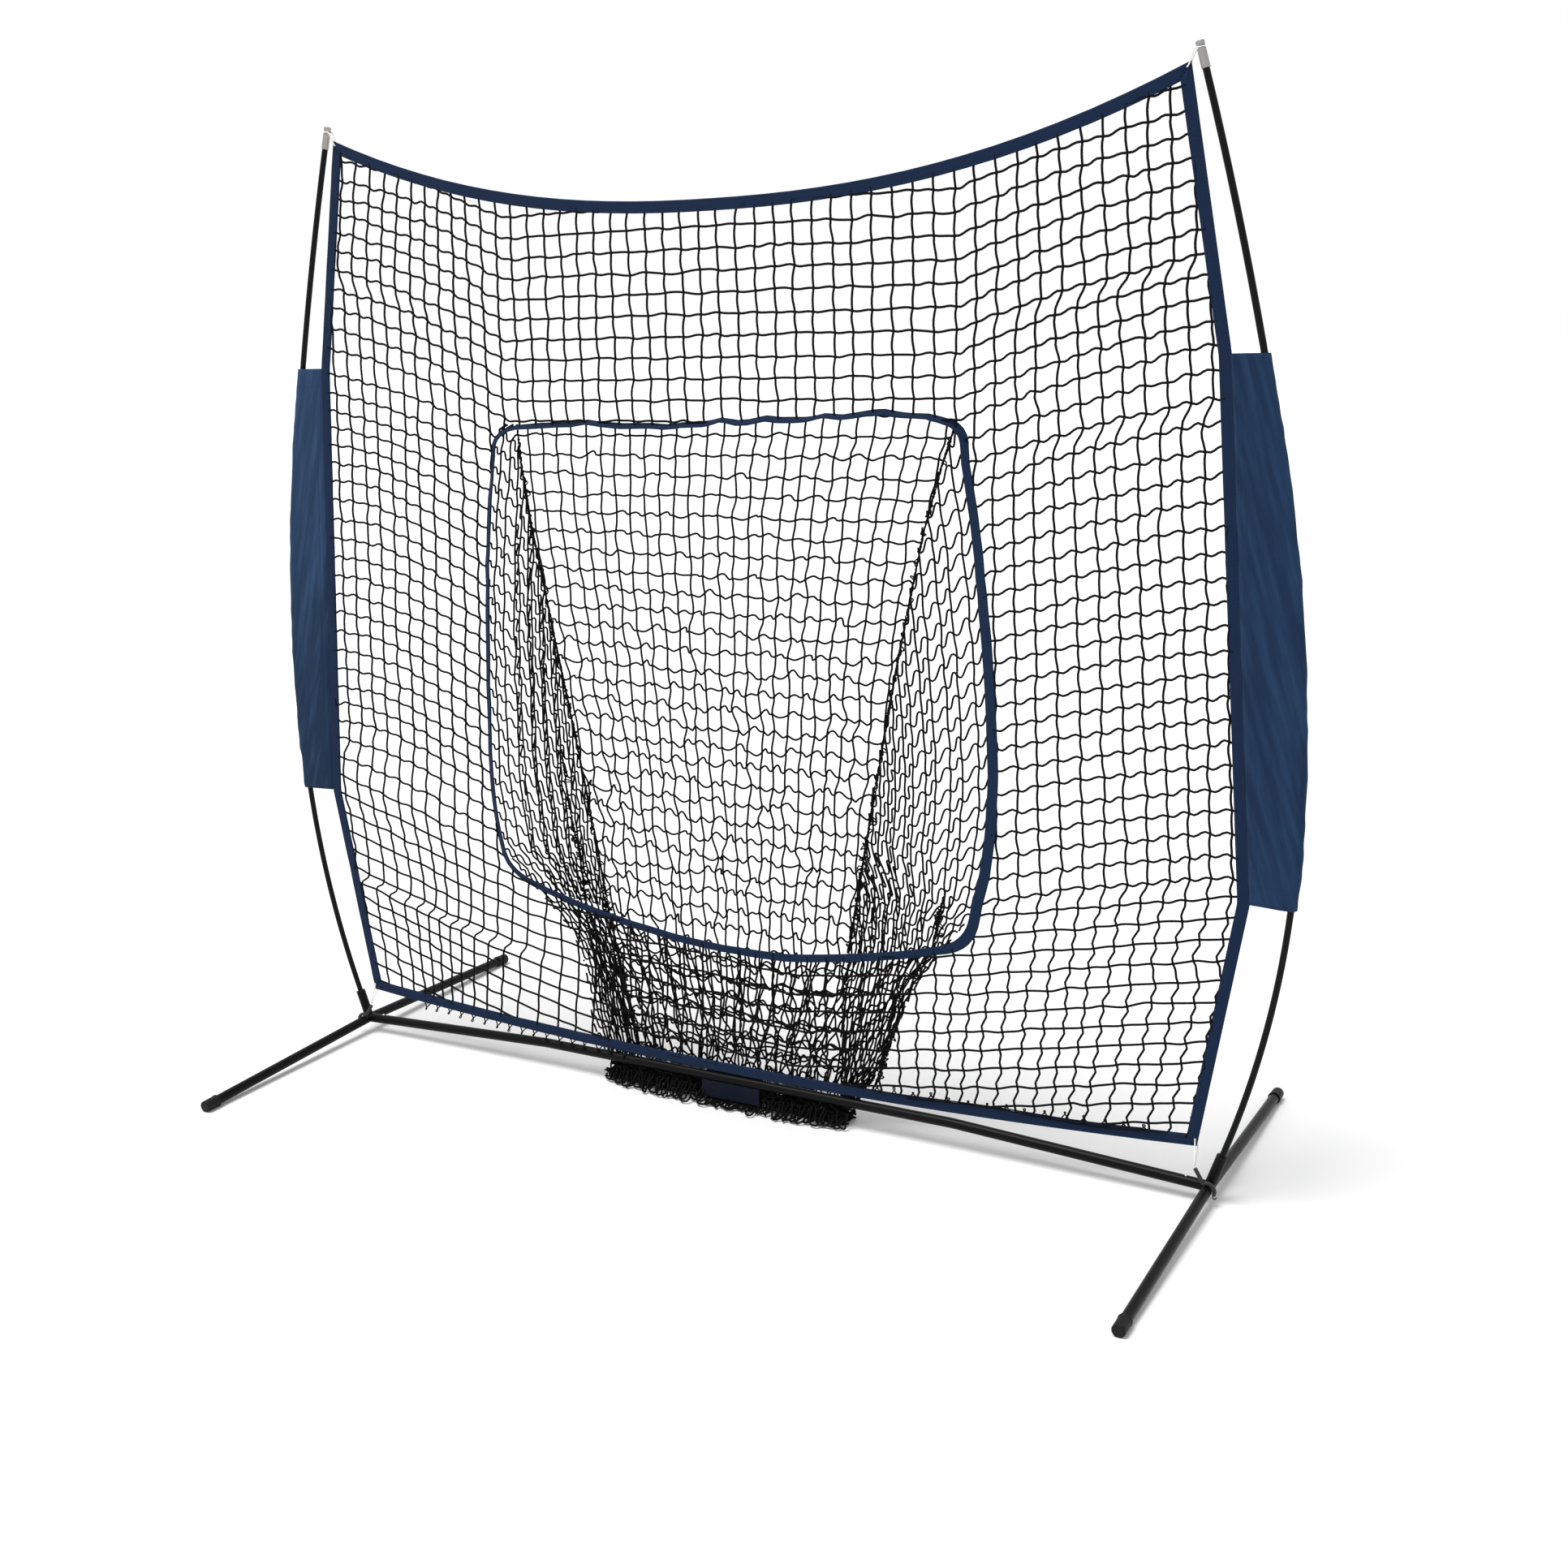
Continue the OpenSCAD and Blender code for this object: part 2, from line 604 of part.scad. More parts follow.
// ---- sleeves: a hollow teardrop of cloth from the side webbing round the pole ----
sleeve_steps = 12;
function edge_x(z) = edge_low.x + (edge_high.x - edge_low.x) * (z - sleeve_low) / (sleeve_high - sleeve_low);
function drop_ring(z, r, nose) = let (c = pole_x(z), tip = edge_x(z) + sewn_gap + nose, h = cloth_t * 0.8)
    concat([for (a = [110:-20:-110]) [c + r * cos(a), r * sin(a), z]],
        [for (t = [0.35, 0.7]) [c + (tip - c) * t, -r * (1 - t) - h * t / 2, z]],
        [[tip, r < coupler_r + sleeve_room + cloth_t / 2 ? -0.15 : -h, z]],
        [[tip, r < coupler_r + sleeve_room + cloth_t / 2 ? 0.15 : h, z]],
        [for (t = [0.7, 0.35]) [c + (tip - c) * t, r * (1 - t) + h * t / 2, z]]);
module sleeve() {
    inner_r = coupler_r + sleeve_room;
    zs = [for (i = [0:sleeve_steps]) sleeve_low + (sleeve_high - sleeve_low) * i / sleeve_steps];
    out = [for (z = zs) drop_ring(z, inner_r + cloth_t, 0)];
    in = [for (z = zs) drop_ring(z, inner_r, 12)];
    nr = len(zs);
    m = len(out[0]);
    n = nr * m;
    last = (nr - 1) * m;
    color(navy) polyhedron(concat([for (r = out) for (p = r) p], [for (r = in) for (p = r) p]), concat(
        [for (i = [0:nr - 2]) for (k = [0:m - 1]) let (a = i * m + k, b = i * m + (k + 1) % m) for (f = [
            [a, b + m, a + m], [a, b, b + m], [n + a, n + a + m, n + b + m], [n + a, n + b + m, n + b]]) f],
        [for (k = [0:m - 1]) let (a = k, b = (k + 1) % m) for (f = [
            [a, n + b, b], [a, n + a, n + b],
            [last + a, last + b, n + last + b], [last + a, n + last + b, n + last + a]]) f]), convexity = 8);
}

// ---- pocket ----
pocket_rows = 12;
function row_z(i, n, low, high) = high + (low - high) * i / n;
module pocket_back() {
    cols = 10;
    color(black_cord) sheet([for (i = [0:pocket_rows]) let (z = row_z(i, pocket_rows, pocket_low, pocket_top))
        [for (j = [0:cols]) let (x = ramp(j, cols, seam_x(z) - small))
            [x + drift(z), back_y(z) + 3 * fall(z) * (1 - cos(360 * 2 * j / cols)), z]]], pocket_t);
}
module pocket_front() {
    cols = 10;
    rows = 8;
    foot = seam_low - small;
    color(black_cord) sheet([for (i = [0:rows])
        let (t = i / rows, w = foot + (open_d.x - 60 - foot) * pow(1 - t, 1.6))
        [for (j = [0:cols]) let (x = ramp(j, cols, w),
                lip = open_low + open_sag * pow(x / open_d.x, 2) - binding_w / 2 + 6,
                z = lip + (pocket_low - lip) * t)
            [x + drift_out(z) * t, front_y(z) + t * (1 - cos(360 * 3 * j / cols)), z]]], pocket_t);
}
module pocket_side(side) {
    cols = 2 * side_folds;
    color(black_cord) sheet([for (i = [0:pocket_rows])
        let (z = row_z(i, pocket_rows, pocket_low, pocket_top - 2), a = outer_x(z), b = seam_x(z) + 2,
            amp = min(fold_depth, 0.5 * (a - b) / side_folds))
        [for (k = [0:cols]) let (j = side > 0 ? k : cols - k, t = j / cols)
            [side * (b + (a - b) * t) + drift(z) * (1 - t) + drift_out(z) * t,
                back_y(z) + (front_y(z) - back_y(z)) * t + (j % 2) * amp, z]]], pocket_t);
}
// netting gathered on the ground behind and under the crossbar
wrap_r = tube_r + small;
fold_angle = 225;
hinge_y = (wrap_r + flap_t) * cos(fold_angle) - small - flap_t / 2;
hinge_z = bar_z + (wrap_r + flap_t) * sin(fold_angle);
bundle_steps = 10;
bundle_back = net_back + pocket_depth + bundle_reach;
bundle_low = 40;
function bundle_ring(x) = let (
    taper = sqrt(max(0.06, 1 - pow(x / pocket_foot, 2))), top = pocket_low - small, g = ground_gap,
    wall = hinge_y + flap_t / 2 + 2 * small, front = wall - bundle_front)
    [for (p = [[front, g], [wall, g], [bundle_back - bundle_low, g], [bundle_back - 8, g + 1],
        [bundle_back, g + 14], [bundle_back - 8, top - 8], [bundle_back - 30, top],
        [20, top], [wall, top], [wall, g + 4], [front + 4, g + 3.5]])
        [x - pocket_drift, p[0] * (0.4 + 0.6 * taper), g + (p[1] - g) * (0.55 + 0.45 * taper)]];
module pocket_foot_bundle() {
    color(black_cord) skin([for (i = [0:bundle_steps]) bundle_ring(ramp(i, bundle_steps, pocket_foot))]);
}
module seam_lacing(side) {
    color(black_cord) cord([for (i = [0:14]) let (z = row_z(i, 14, pocket_low + 1, pocket_top))
        [side * seam_x(z) + drift(z), back_y(z) + pocket_t + lacing_d / 2 + 0.2, z]], lacing_d, 6);
}

// ---- closing flap: sewn behind the bottom webbing, round the crossbar, then hanging ----
function wrap_pt(r, a) = [r * cos(a), bar_z + r * sin(a)];
module yz_plate(w) {
    translate([flap_at - w / 2, 0, 0]) rotate([90, 0, 90]) linear_extrude(w) children();
}
module flap_wrap() {
    sewn = band_t / 2 + small;
    top = bottom_edge + band_w * 0.8;
    start = atan2(top - bar_z, sewn) - acos(wrap_r / norm([sewn, top - bar_z]));
    turned = start - fold_angle + 360;
    steps = 14;
    color(navy) yz_plate(flap_w) polygon(concat(
        [[sewn, top]], [for (i = [0:steps]) wrap_pt(wrap_r, start - turned * i / steps)],
        [for (i = [steps:-1:0]) wrap_pt(wrap_r + flap_t, start - turned * i / steps)],
        [[sewn + flap_t, top]]));
}
module closing_flap() {
    color(navy) yz_plate(flap_w) translate([hinge_y - flap_t / 2, hinge_z - flap_drop])
        square([flap_t, flap_drop]);
}

// ---- corner ties ----
function in_tip(out, back, up) = let (u = along(tip_heading))
    [neck_pt.x + out * u.y + up * u.x, back, neck_pt.y - out * u.x + up * u.y];
elastic_r = elastic_d / 2;
sewn_y = band_t / 2 + elastic_r + 0.1;
module corner_loop_top() {
    r = neck_d / 2 + elastic_r + 0.15;
    c = [top_corner.x - 3, 0, top_corner.y - 6];
    color("#e8e8e6") cord(concat([c + [-4, -sewn_y, -5], c + [0, -sewn_y, 0], in_tip(-10, -r, 0)],
        [for (a = [-90:22.5:90]) in_tip(r * cos(a), r * sin(a), 0)],
        [in_tip(-10, r, 0), c + [0, sewn_y, 0], c + [-4, sewn_y, -5]]), elastic_d, 6);
}
wrap_leg_r = tube_r + strap_d / 2 + 0.9;
leg_at_strap = corner_z - strap_front * leg_rise / leg_reach;
function over_leg(a) = [half + wrap_leg_r * cos(a), -strap_front, leg_at_strap + wrap_leg_r * sin(a)];
strap_top = over_leg(115) + [-18, 3, 27];
module hook_strap() {
    color("#111111") cord(concat([strap_top, strap_top + [7, -1, -11]],
        [for (a = [115:-20:-25]) over_leg(a)]), strap_d, 8);
}
module corner_loop_bottom() {
    c = [bottom_corner.x - 3, 0, bottom_corner.y + 8];
    v = strap_top + [-1, 0, strap_d / 2 + elastic_r];
    under = [bottom_corner.x + 1, sewn_y, bottom_corner.y - 7];
    color("#e8e8e6") cord([c + [0, -sewn_y, 8], c + [0, -sewn_y, 0], v + [0, -1, 9], v + [0, 0, 0.4],
        v + [0, 3.6, 1.4], v + [0, 4, 9], under, c + [0, sewn_y, 0], c + [0, sewn_y, 8]], elastic_d, 6);
}
module wire_hook() {
    t = [sin(-25), 0, -cos(25)];
    n = [cos(25), 0, sin(-25)];
    s = over_leg(-25) + 0.4 * t;
    curl = 3.4;
    color("#2a2a2a") cord(concat([s], [for (a = [0:22.5:225])
        s + (3 + curl * sin(a)) * t + curl * (1 - cos(a)) * n]), hook_d, 6);
}

on(-1) leg();  // leg_left
on(1) leg();  // leg_right
on(-1) crossbar_stub();  // crossbar_stub_left
on(1) crossbar_stub();  // crossbar_stub_right
on(-1) pole_socket();  // pole_socket_left
on(1) pole_socket();  // pole_socket_right
on(-1) socket_bush();  // socket_bush_left
on(1) socket_bush();  // socket_bush_right
on(-1) end_cap(-1);  // end_cap_front_left
on(-1) end_cap(1);  // end_cap_back_left
on(1) end_cap(-1);  // end_cap_front_right
on(1) end_cap(1);  // end_cap_back_right
crossbar_left();
crossbar_right();
on(-1) at_corner_button() snap_button();  // snap_button_left
on(1) at_corner_button() snap_button();  // snap_button_right
at_mid_button() snap_button();  // snap_button_middle
on(-1) at_corner_button() button_spring();  // button_spring_left
on(1) at_corner_button() button_spring();  // button_spring_right
at_mid_button() button_spring();  // button_spring_middle
on(-1) pole_lower();  // pole_lower_left
on(1) pole_lower();  // pole_lower_right
on(-1) pole_middle();  // pole_middle_left
on(1) pole_middle();  // pole_middle_right
on(-1) pole_upper();  // pole_upper_left
on(1) pole_upper();  // pole_upper_right
on(-1) pole_couplers();  // pole_couplers_left
on(1) pole_couplers();  // pole_couplers_right
on(-1) pole_tip();  // pole_tip_left
on(1) pole_tip();  // pole_tip_right
net_panel(-panel_x, panel_x, mid_open, high_z);  // net_top
net_panel(-panel_x, panel_x, 0, mid_open);  // net_bottom
on(-1) net_panel(panel_x, reach_x, 0, high_z);  // net_left
on(1) net_panel(panel_x, reach_x, 0, high_z);  // net_right
band(0, top_steps);  // band_top
band(top_steps, top_steps + 3);  // band_right
band(top_steps + 3, top_steps + 3 + bottom_steps);  // band_bottom
band(top_steps + 3 + bottom_steps, len(face));  // band_left
on(-1) sleeve();  // sleeve_left
on(1) sleeve();  // sleeve_right
opening_binding();
pocket_back();
pocket_front();
pocket_side(-1);  // pocket_side_left
pocket_side(1);  // pocket_side_right
pocket_foot_bundle();
seam_lacing(-1);  // seam_lacing_left
seam_lacing(1);  // seam_lacing_right
flap_wrap();
closing_flap();
on(-1) corner_loop_top();  // corner_loop_top_left
on(1) corner_loop_top();  // corner_loop_top_right
on(-1) corner_loop_bottom();  // corner_loop_bottom_left
on(1) corner_loop_bottom();  // corner_loop_bottom_right
on(-1) hook_strap();  // hook_strap_left
on(1) hook_strap();  // hook_strap_right
on(-1) wire_hook();  // wire_hook_left
on(1) wire_hook();  // wire_hook_right
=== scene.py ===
# %% [markdown]
# # Pitching target net
# A ball stop for throwing practice. Two flat feet and a sprung crossbar stand on the ground, two
# fibreglass bow poles lean out of them, and a big face of knotted netting is stretched between
# the poles. A window in the face opens into a loose catch pocket that hangs behind it.
#
# The hard parts (tubes, caps, buttons, poles, ferrules) come from the CAD frame and only get
# their finishes here. Everything soft is made here: netting, webbing, sleeves, flap, elastic.
#
# Lengths are metres, X runs along the crossbar, Y to the back and Z up.

import json
import math

import bmesh
import bpy
import numpy as np
from mathutils import Matrix, Vector

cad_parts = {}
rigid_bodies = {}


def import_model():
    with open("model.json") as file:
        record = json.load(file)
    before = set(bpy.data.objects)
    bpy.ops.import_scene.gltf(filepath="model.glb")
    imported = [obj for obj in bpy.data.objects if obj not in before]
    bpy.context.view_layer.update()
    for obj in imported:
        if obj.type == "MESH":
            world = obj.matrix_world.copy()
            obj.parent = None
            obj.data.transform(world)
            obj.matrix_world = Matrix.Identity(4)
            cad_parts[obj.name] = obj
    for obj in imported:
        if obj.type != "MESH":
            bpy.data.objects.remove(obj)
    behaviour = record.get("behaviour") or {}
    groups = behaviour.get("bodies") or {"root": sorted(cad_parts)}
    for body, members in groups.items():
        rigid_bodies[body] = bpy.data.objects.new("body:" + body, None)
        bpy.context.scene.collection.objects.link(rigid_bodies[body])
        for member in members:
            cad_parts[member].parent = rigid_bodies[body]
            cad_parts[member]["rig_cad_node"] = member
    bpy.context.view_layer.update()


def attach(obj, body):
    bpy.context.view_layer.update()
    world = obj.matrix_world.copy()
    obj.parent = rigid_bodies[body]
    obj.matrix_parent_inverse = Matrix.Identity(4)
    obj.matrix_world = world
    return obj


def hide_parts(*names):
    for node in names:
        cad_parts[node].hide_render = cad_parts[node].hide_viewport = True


for item in list(bpy.data.objects):
    bpy.data.objects.remove(item)
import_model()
chance = np.random.default_rng(20)

# %% [markdown]
# ## The outline, from a few real sizes
# The face net is not a free drawing. Its corners are set by the tips of the poles and by the
# feet, and its sides by the sleeves that wrap the poles, so the same few sizes that place the
# steel also place the cloth. They are written in millimetres and turned into metres at the end
# of each small function, which keeps them easy to check with a tape measure.

# %% Sizes and outline
MM = 0.001
HALF, CORNER_Z, BAR_Z, TUBE_R = 1067.0, 33.2, 59.2, 11.0
TIP_L, KNOB_H, NECK_W, NECK_D = 47.0, 8.5, 5.0, 9.6
BAND_W, BAND_T, BINDING_W = 24.0, 5.0, 18.0
SLEEVE_LOW, SLEEVE_HIGH = 618.0, 1622.0
SLEEVE_W_LOW, SLEEVE_W_HIGH = 84.0, 65.0
COUPLER_R, SLEEVE_ROOM, CLOTH_T = 8.0, 1.0, 1.4
TOP_DIP = 173
# heights of the window: its top, the lower end of its sides, its lower corners and its lowest point
WINDOW_TOP, SIDE_LOW, WINDOW_LOW, LIP = 1506, 524, 442, 370
POCKET_TOP, POCKET_LOW, NET_BACK, POCKET_DEPTH = 1497.0, 44.6, 2.8, 42.0
SEAM_LOW, SEAM_HIGH, POCKET_FOOT, POCKET_DRIFT = 263.0, 518.0, 318.0, 40.0
# heights of the pocket's outer edge below the window, with its half width and its middle there
EDGE_Z = [45, 106, 186, 268, 349, SIDE_LOW]
EDGE_HALF = [322, 356, 382, 400, 434, 591]
EDGE_MIDDLE = [-40, -31, -12, 0, 0, -27]
BOTTOM_EDGE = BAR_Z + TUBE_R + 2.0


def along(degrees):
    """Unit vector in the XZ plane, leaning outwards from upright."""
    a = math.radians(degrees)
    return np.array([math.sin(a), math.cos(a)])


class Pole:
    """The bow pole's centre line: a straight foot and three bends, each one flatter."""

    lengths, bends = (680.0, 680.0, 658.0), (2100.0, 3450.0, 7700.0)

    def __init__(self):
        lean = 18.85
        point = np.array([HALF, CORNER_Z]) + 85 * along(lean)
        self.starts, self.centres, self.leans = [point], [], [lean]
        for length, bend in zip(self.lengths, self.bends):
            a = math.radians(lean)
            centre = point + bend * np.array([-math.cos(a), math.sin(a)])
            lean -= math.degrees(length / bend)
            a = math.radians(lean)
            point = centre + bend * np.array([math.cos(a), -math.sin(a)])
            self.centres.append(centre)
            self.starts.append(point)
            self.leans.append(lean)

    def x(self, z):
        """How far out the pole is at height z."""
        i = 0 if z < self.starts[1][1] else 1 if z < self.starts[2][1] else 2
        c = self.centres[i]
        return c[0] + math.sqrt(self.bends[i] ** 2 - (z - c[1]) ** 2)


pole = Pole()
tip_lean = pole.leans[3]
tip_end = pole.starts[3] + TIP_L * along(tip_lean)
neck = pole.starts[3] + (TIP_L - KNOB_H - NECK_W / 2) * along(tip_lean)
top_corner = tip_end - np.array([13.0, 30.0])
bottom_corner = np.array([HALF - 27, CORNER_Z + 80])
edge_high = np.array([pole.x(SLEEVE_HIGH) + COUPLER_R - SLEEVE_W_HIGH, SLEEVE_HIGH])
edge_low = np.array([pole.x(SLEEVE_LOW) + COUPLER_R - SLEEVE_W_LOW, SLEEVE_LOW])


def top_z(x):
    """The face's upper edge, which dips between the poles."""
    return top_corner[1] - TOP_DIP * (1 - (abs(x) / top_corner[0]) ** 2.3)


def low_z(x):
    """The face's lower edge, which comes down to the crossbar in the middle."""
    return BOTTOM_EDGE + (bottom_corner[1] - BOTTOM_EDGE) * (x / bottom_corner[0]) ** 2


def face_outline():
    """Corners of the face, clockwise from the top left one, and where each side starts."""
    top = [(x, top_z(x)) for x in np.linspace(-top_corner[0], top_corner[0], 33)]
    low = [(x, low_z(x)) for x in np.linspace(bottom_corner[0], -bottom_corner[0], 25)]
    right = [tuple(edge_high), tuple(edge_low)]
    left = [(-edge_low[0], edge_low[1]), (-edge_high[0], edge_high[1])]
    return np.array(top + right + low + left), (0, 32, 35, 59)


def grown(points, d):
    """Moves every side of a clockwise outline outwards by d."""
    nxt, prv = np.roll(points, -1, axis=0), np.roll(points, 1, axis=0)

    def normal(a, b):
        u = (b - a) / np.linalg.norm(b - a, axis=1)[:, None]
        return np.stack([-u[:, 1], u[:, 0]], axis=1)

    a, b = normal(prv, points), normal(points, nxt)
    return points + d * (a + b) / (1 + (a * b).sum(axis=1))[:, None]


def bezier(a, c, b, n):
    t = (np.arange(1, n + 1) / n)[:, None]
    return (1 - t) ** 2 * np.array(a) + 2 * t * (1 - t) * np.array(c) + t * t * np.array(b)


def opening_outline(n=4):
    """The window in the face, clockwise from the left end of its top edge, and its right half."""
    a, b, c, d = (482, WINDOW_TOP), (562, 1426), (582, SIDE_LOW), (500, WINDOW_LOW)
    bow = (2 * 614 - (b[0] + c[0]) / 2, (b[1] + c[1]) / 2)
    half = np.concatenate([[a], bezier(a, (b[0], WINDOW_TOP), b, 5 * n), bezier(b, bow, c, 8 * n),
                           bezier(c, (574, 458), d, 5 * n), bezier(d, (250, LIP), (0, LIP), 5 * n)])
    return np.concatenate([half, (half * [-1, 1])[-2::-1]]), half


face, corners = face_outline()
opening, opening_half = opening_outline()


def open_x(z):
    """Half width of the window at height z."""
    order = np.argsort(opening_half[:, 1])
    return np.interp(z, opening_half[order, 1], opening_half[order, 0])


def ease(t):
    """From 0 to 1 as t does, with a soft start and a soft stop."""
    t = np.clip(t, 0, 1)
    return t * t * (3 - 2 * t)


def distance(line):
    """How far along a line each of its points is."""
    return np.concatenate([[0], np.cumsum(np.linalg.norm(np.diff(line, axis=0), axis=1))])


print("face corners", np.round(top_corner), np.round(bottom_corner), "tip", np.round(tip_end))

# %% [markdown]
# ## Small tools
# `add` puts one node in a tree, with its settings and its links, so that a material reads as a
# list of what it is made of. `colour` turns a given colour into the linear numbers that a
# shader needs. `piece` turns points and faces into an object at the origin, gives it its
# material and fastens it to a body of the frame.

# %% Small tools


def add(tree, kind, inputs=(), **settings):
    """Add one node; each input takes a value or the output of another node."""
    made = tree.nodes.new(kind)
    for name, value in settings.items():
        setattr(made, name, value)
    for name, value in dict(inputs).items():
        if isinstance(value, bpy.types.NodeSocket):
            tree.links.new(value, made.inputs[name])
        else:
            made.inputs[name].default_value = value
    return made


def colour(code):
    """An sRGB colour such as 22375c as linear red, green, blue and alpha."""
    parts = [int(code[i:i + 2], 16) / 255 for i in (0, 2, 4)]
    return tuple(p / 12.92 if p <= 0.04045 else ((p + 0.055) / 1.055) ** 2.4 for p in parts) + (1,)


def material(name, code, **shader):
    """A new material with one Principled shader; its tree and its shader come back."""
    made = bpy.data.materials.new(name)
    made.use_nodes = True
    tree = made.node_tree
    tree.nodes.clear()
    settings = {k.replace("_", " "): v for k, v in shader.items()}
    bsdf = add(tree, "ShaderNodeBsdfPrincipled", {"Base Color": colour(code), **settings})
    add(tree, "ShaderNodeOutputMaterial", {"Surface": bsdf.outputs[0]})
    return made, tree, bsdf


def piece(name, rings, finish, body="frame", loop=False, stands_for=()):
    """An object over rings of points (millimetres), closed and facing outwards, on its body."""
    verts, faces, uv = skin(np.asarray(rings) * MM, loop)
    mesh = bpy.data.meshes.new(name)
    mesh.from_pydata([tuple(map(float, v)) for v in verts], [], faces)
    mesh.uv_layers.new(name="UVMap").data.foreach_set("uv", np.asarray(uv, float).ravel())
    bm = bmesh.new()
    bm.from_mesh(mesh)
    bmesh.ops.remove_doubles(bm, verts=bm.verts, dist=1e-6)
    bmesh.ops.recalc_face_normals(bm, faces=bm.faces)
    bm.to_mesh(mesh)
    bm.free()
    mesh.polygons.foreach_set("use_smooth", [True] * len(mesh.polygons))
    mesh.materials.append(finish)
    made = bpy.data.objects.new(name, mesh)
    bpy.context.scene.collection.objects.link(made)
    return settled(made, body, stands_for)


def settled(made, body="frame", stands_for=()):
    """Give an object its body, and let it stand for nodes of the frame."""
    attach(made, body)
    if stands_for:
        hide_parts(*stands_for)
    return made


def skin(rings, loop):
    """Faces and UVs over rings of points: v runs round the ring and u along it, in metres."""
    n, m = rings.shape[:2]
    run = distance(rings.mean(axis=1))
    wrap = np.linalg.norm(np.roll(rings[n // 2], -1, axis=0) - rings[n // 2], axis=1)
    v = np.concatenate([[0], np.cumsum(wrap)])
    last_step = np.linalg.norm(rings[0].mean(0) - rings[-1].mean(0))
    faces, uv = [], []
    for i in range(n if loop else n - 1):
        j = (i + 1) % n
        end = run[i + 1] if i + 1 < n else run[-1] + last_step
        for k in range(m):
            faces.append((i * m + k, i * m + (k + 1) % m, j * m + (k + 1) % m, j * m + k))
            uv += [(run[i], v[k]), (run[i], v[k + 1]), (end, v[k + 1]), (end, v[k])]
    if not loop:
        for at, u, order in ((0, run[0], range(m - 1, -1, -1)), ((n - 1) * m, run[-1], range(m))):
            faces.append(tuple(at + k for k in order))
            uv += [(u, v[k]) for k in order]
    return rings.reshape(-1, 3), faces, uv


def wobble(n, step, size, seed):
    """A smooth random run of n numbers, turning about every `step` of them."""
    r = np.random.default_rng(seed)
    knots = r.normal(0, size, max(2, int(n / step) + 3))
    return np.interp(np.arange(n) / step, np.arange(len(knots)), knots)


# %% [markdown]
# ## Camera, floor and light
# A product shot on white: the camera stands to the right of the net at eye height, the floor
# stays almost white and only keeps a soft shadow under the tubes. The sky is plain white, and
# one wide soft light from the upper left gives that shadow and a thin highlight along the tubes.

# %% Camera, floor and light
scene = bpy.context.scene
scene.view_settings.view_transform = "Standard"

eye = bpy.data.cameras.new("camera")
eye.lens, eye.sensor_width, eye.clip_end = 41.44, 36, 400
camera = bpy.data.objects.new("camera", eye)
scene.collection.objects.link(camera)
turn, tilt, roll = math.radians(28.83), math.radians(-13.78), math.radians(-1.30)
forward = Vector((-math.sin(turn), math.cos(turn), 0))
right = Vector((math.cos(turn), math.sin(turn), 0))
up = Vector((0, 0, 1))
ahead = forward * math.cos(tilt) + up * math.sin(tilt)
above = up * math.cos(tilt) - forward * math.sin(tilt)
across = right * math.cos(roll) + above * math.sin(roll)
above = above * math.cos(roll) - right * math.sin(roll)
camera.matrix_world = Matrix.Translation((1.917, -3.235, 1.6635 - 0.0035)) @ Matrix(
    (across, above, -ahead)).transposed().to_4x4()
scene.camera = camera

sky = bpy.data.worlds.new("white studio")
scene.world = sky
sky.use_nodes = True
sky.node_tree.nodes.clear()
rays = add(sky.node_tree, "ShaderNodeLightPath").outputs
seen = rays["Is Camera Ray"]
for kind in ("Is Transmission Ray", "Is Glossy Ray"):
    seen = add(sky.node_tree, "ShaderNodeMath", {0: seen, 1: rays[kind]}, operation="MAXIMUM").outputs[0]
level = add(sky.node_tree, "ShaderNodeMapRange", {0: seen, 3: 0.62, 4: 1.0}).outputs[0]
sky_light = add(sky.node_tree, "ShaderNodeBackground", {"Color": (1, 1, 1, 1), "Strength": level})
add(sky.node_tree, "ShaderNodeOutputWorld", {"Surface": sky_light.outputs[0]})

lamp = bpy.data.lights.new("wide soft light", "SUN")
lamp.energy, lamp.angle = 2.3, math.radians(30)
light = bpy.data.objects.new("wide soft light", lamp)
scene.collection.objects.link(light)
light.rotation_euler = Vector((0.32, 0.38, -1.3)).to_track_quat("-Z", "Y").to_euler()

floor_paint = material("floor paint", "fafafa", Roughness=0.9)[0]
bpy.ops.mesh.primitive_plane_add(size=400, location=(0, 6, -0.0005))
floor = bpy.context.object
floor.name = "floor"
floor.data.materials.append(floor_paint)

# %% [markdown]
# ## Finishes
# Each one is named for the real material, and says what it gives the eye. The sleeves' and the
# flap's cloths also carry painted light and shade: a lit copy for the left sleeve that is painted
# paler higher up, painted light and shade along the sleeves' folds, and painted shade on the flap.
# Patterns are in real sizes: an object coordinate times 1000 counts millimetres. A weave finer
# than the eye can resolve from a few metres is drawn about twice as coarse, or it would vanish in
# the picture.

# %% Finishes
NOISE, CELLS = "ShaderNodeTexNoise", "ShaderNodeTexVoronoi"
EVEN = (1, 1, 1)


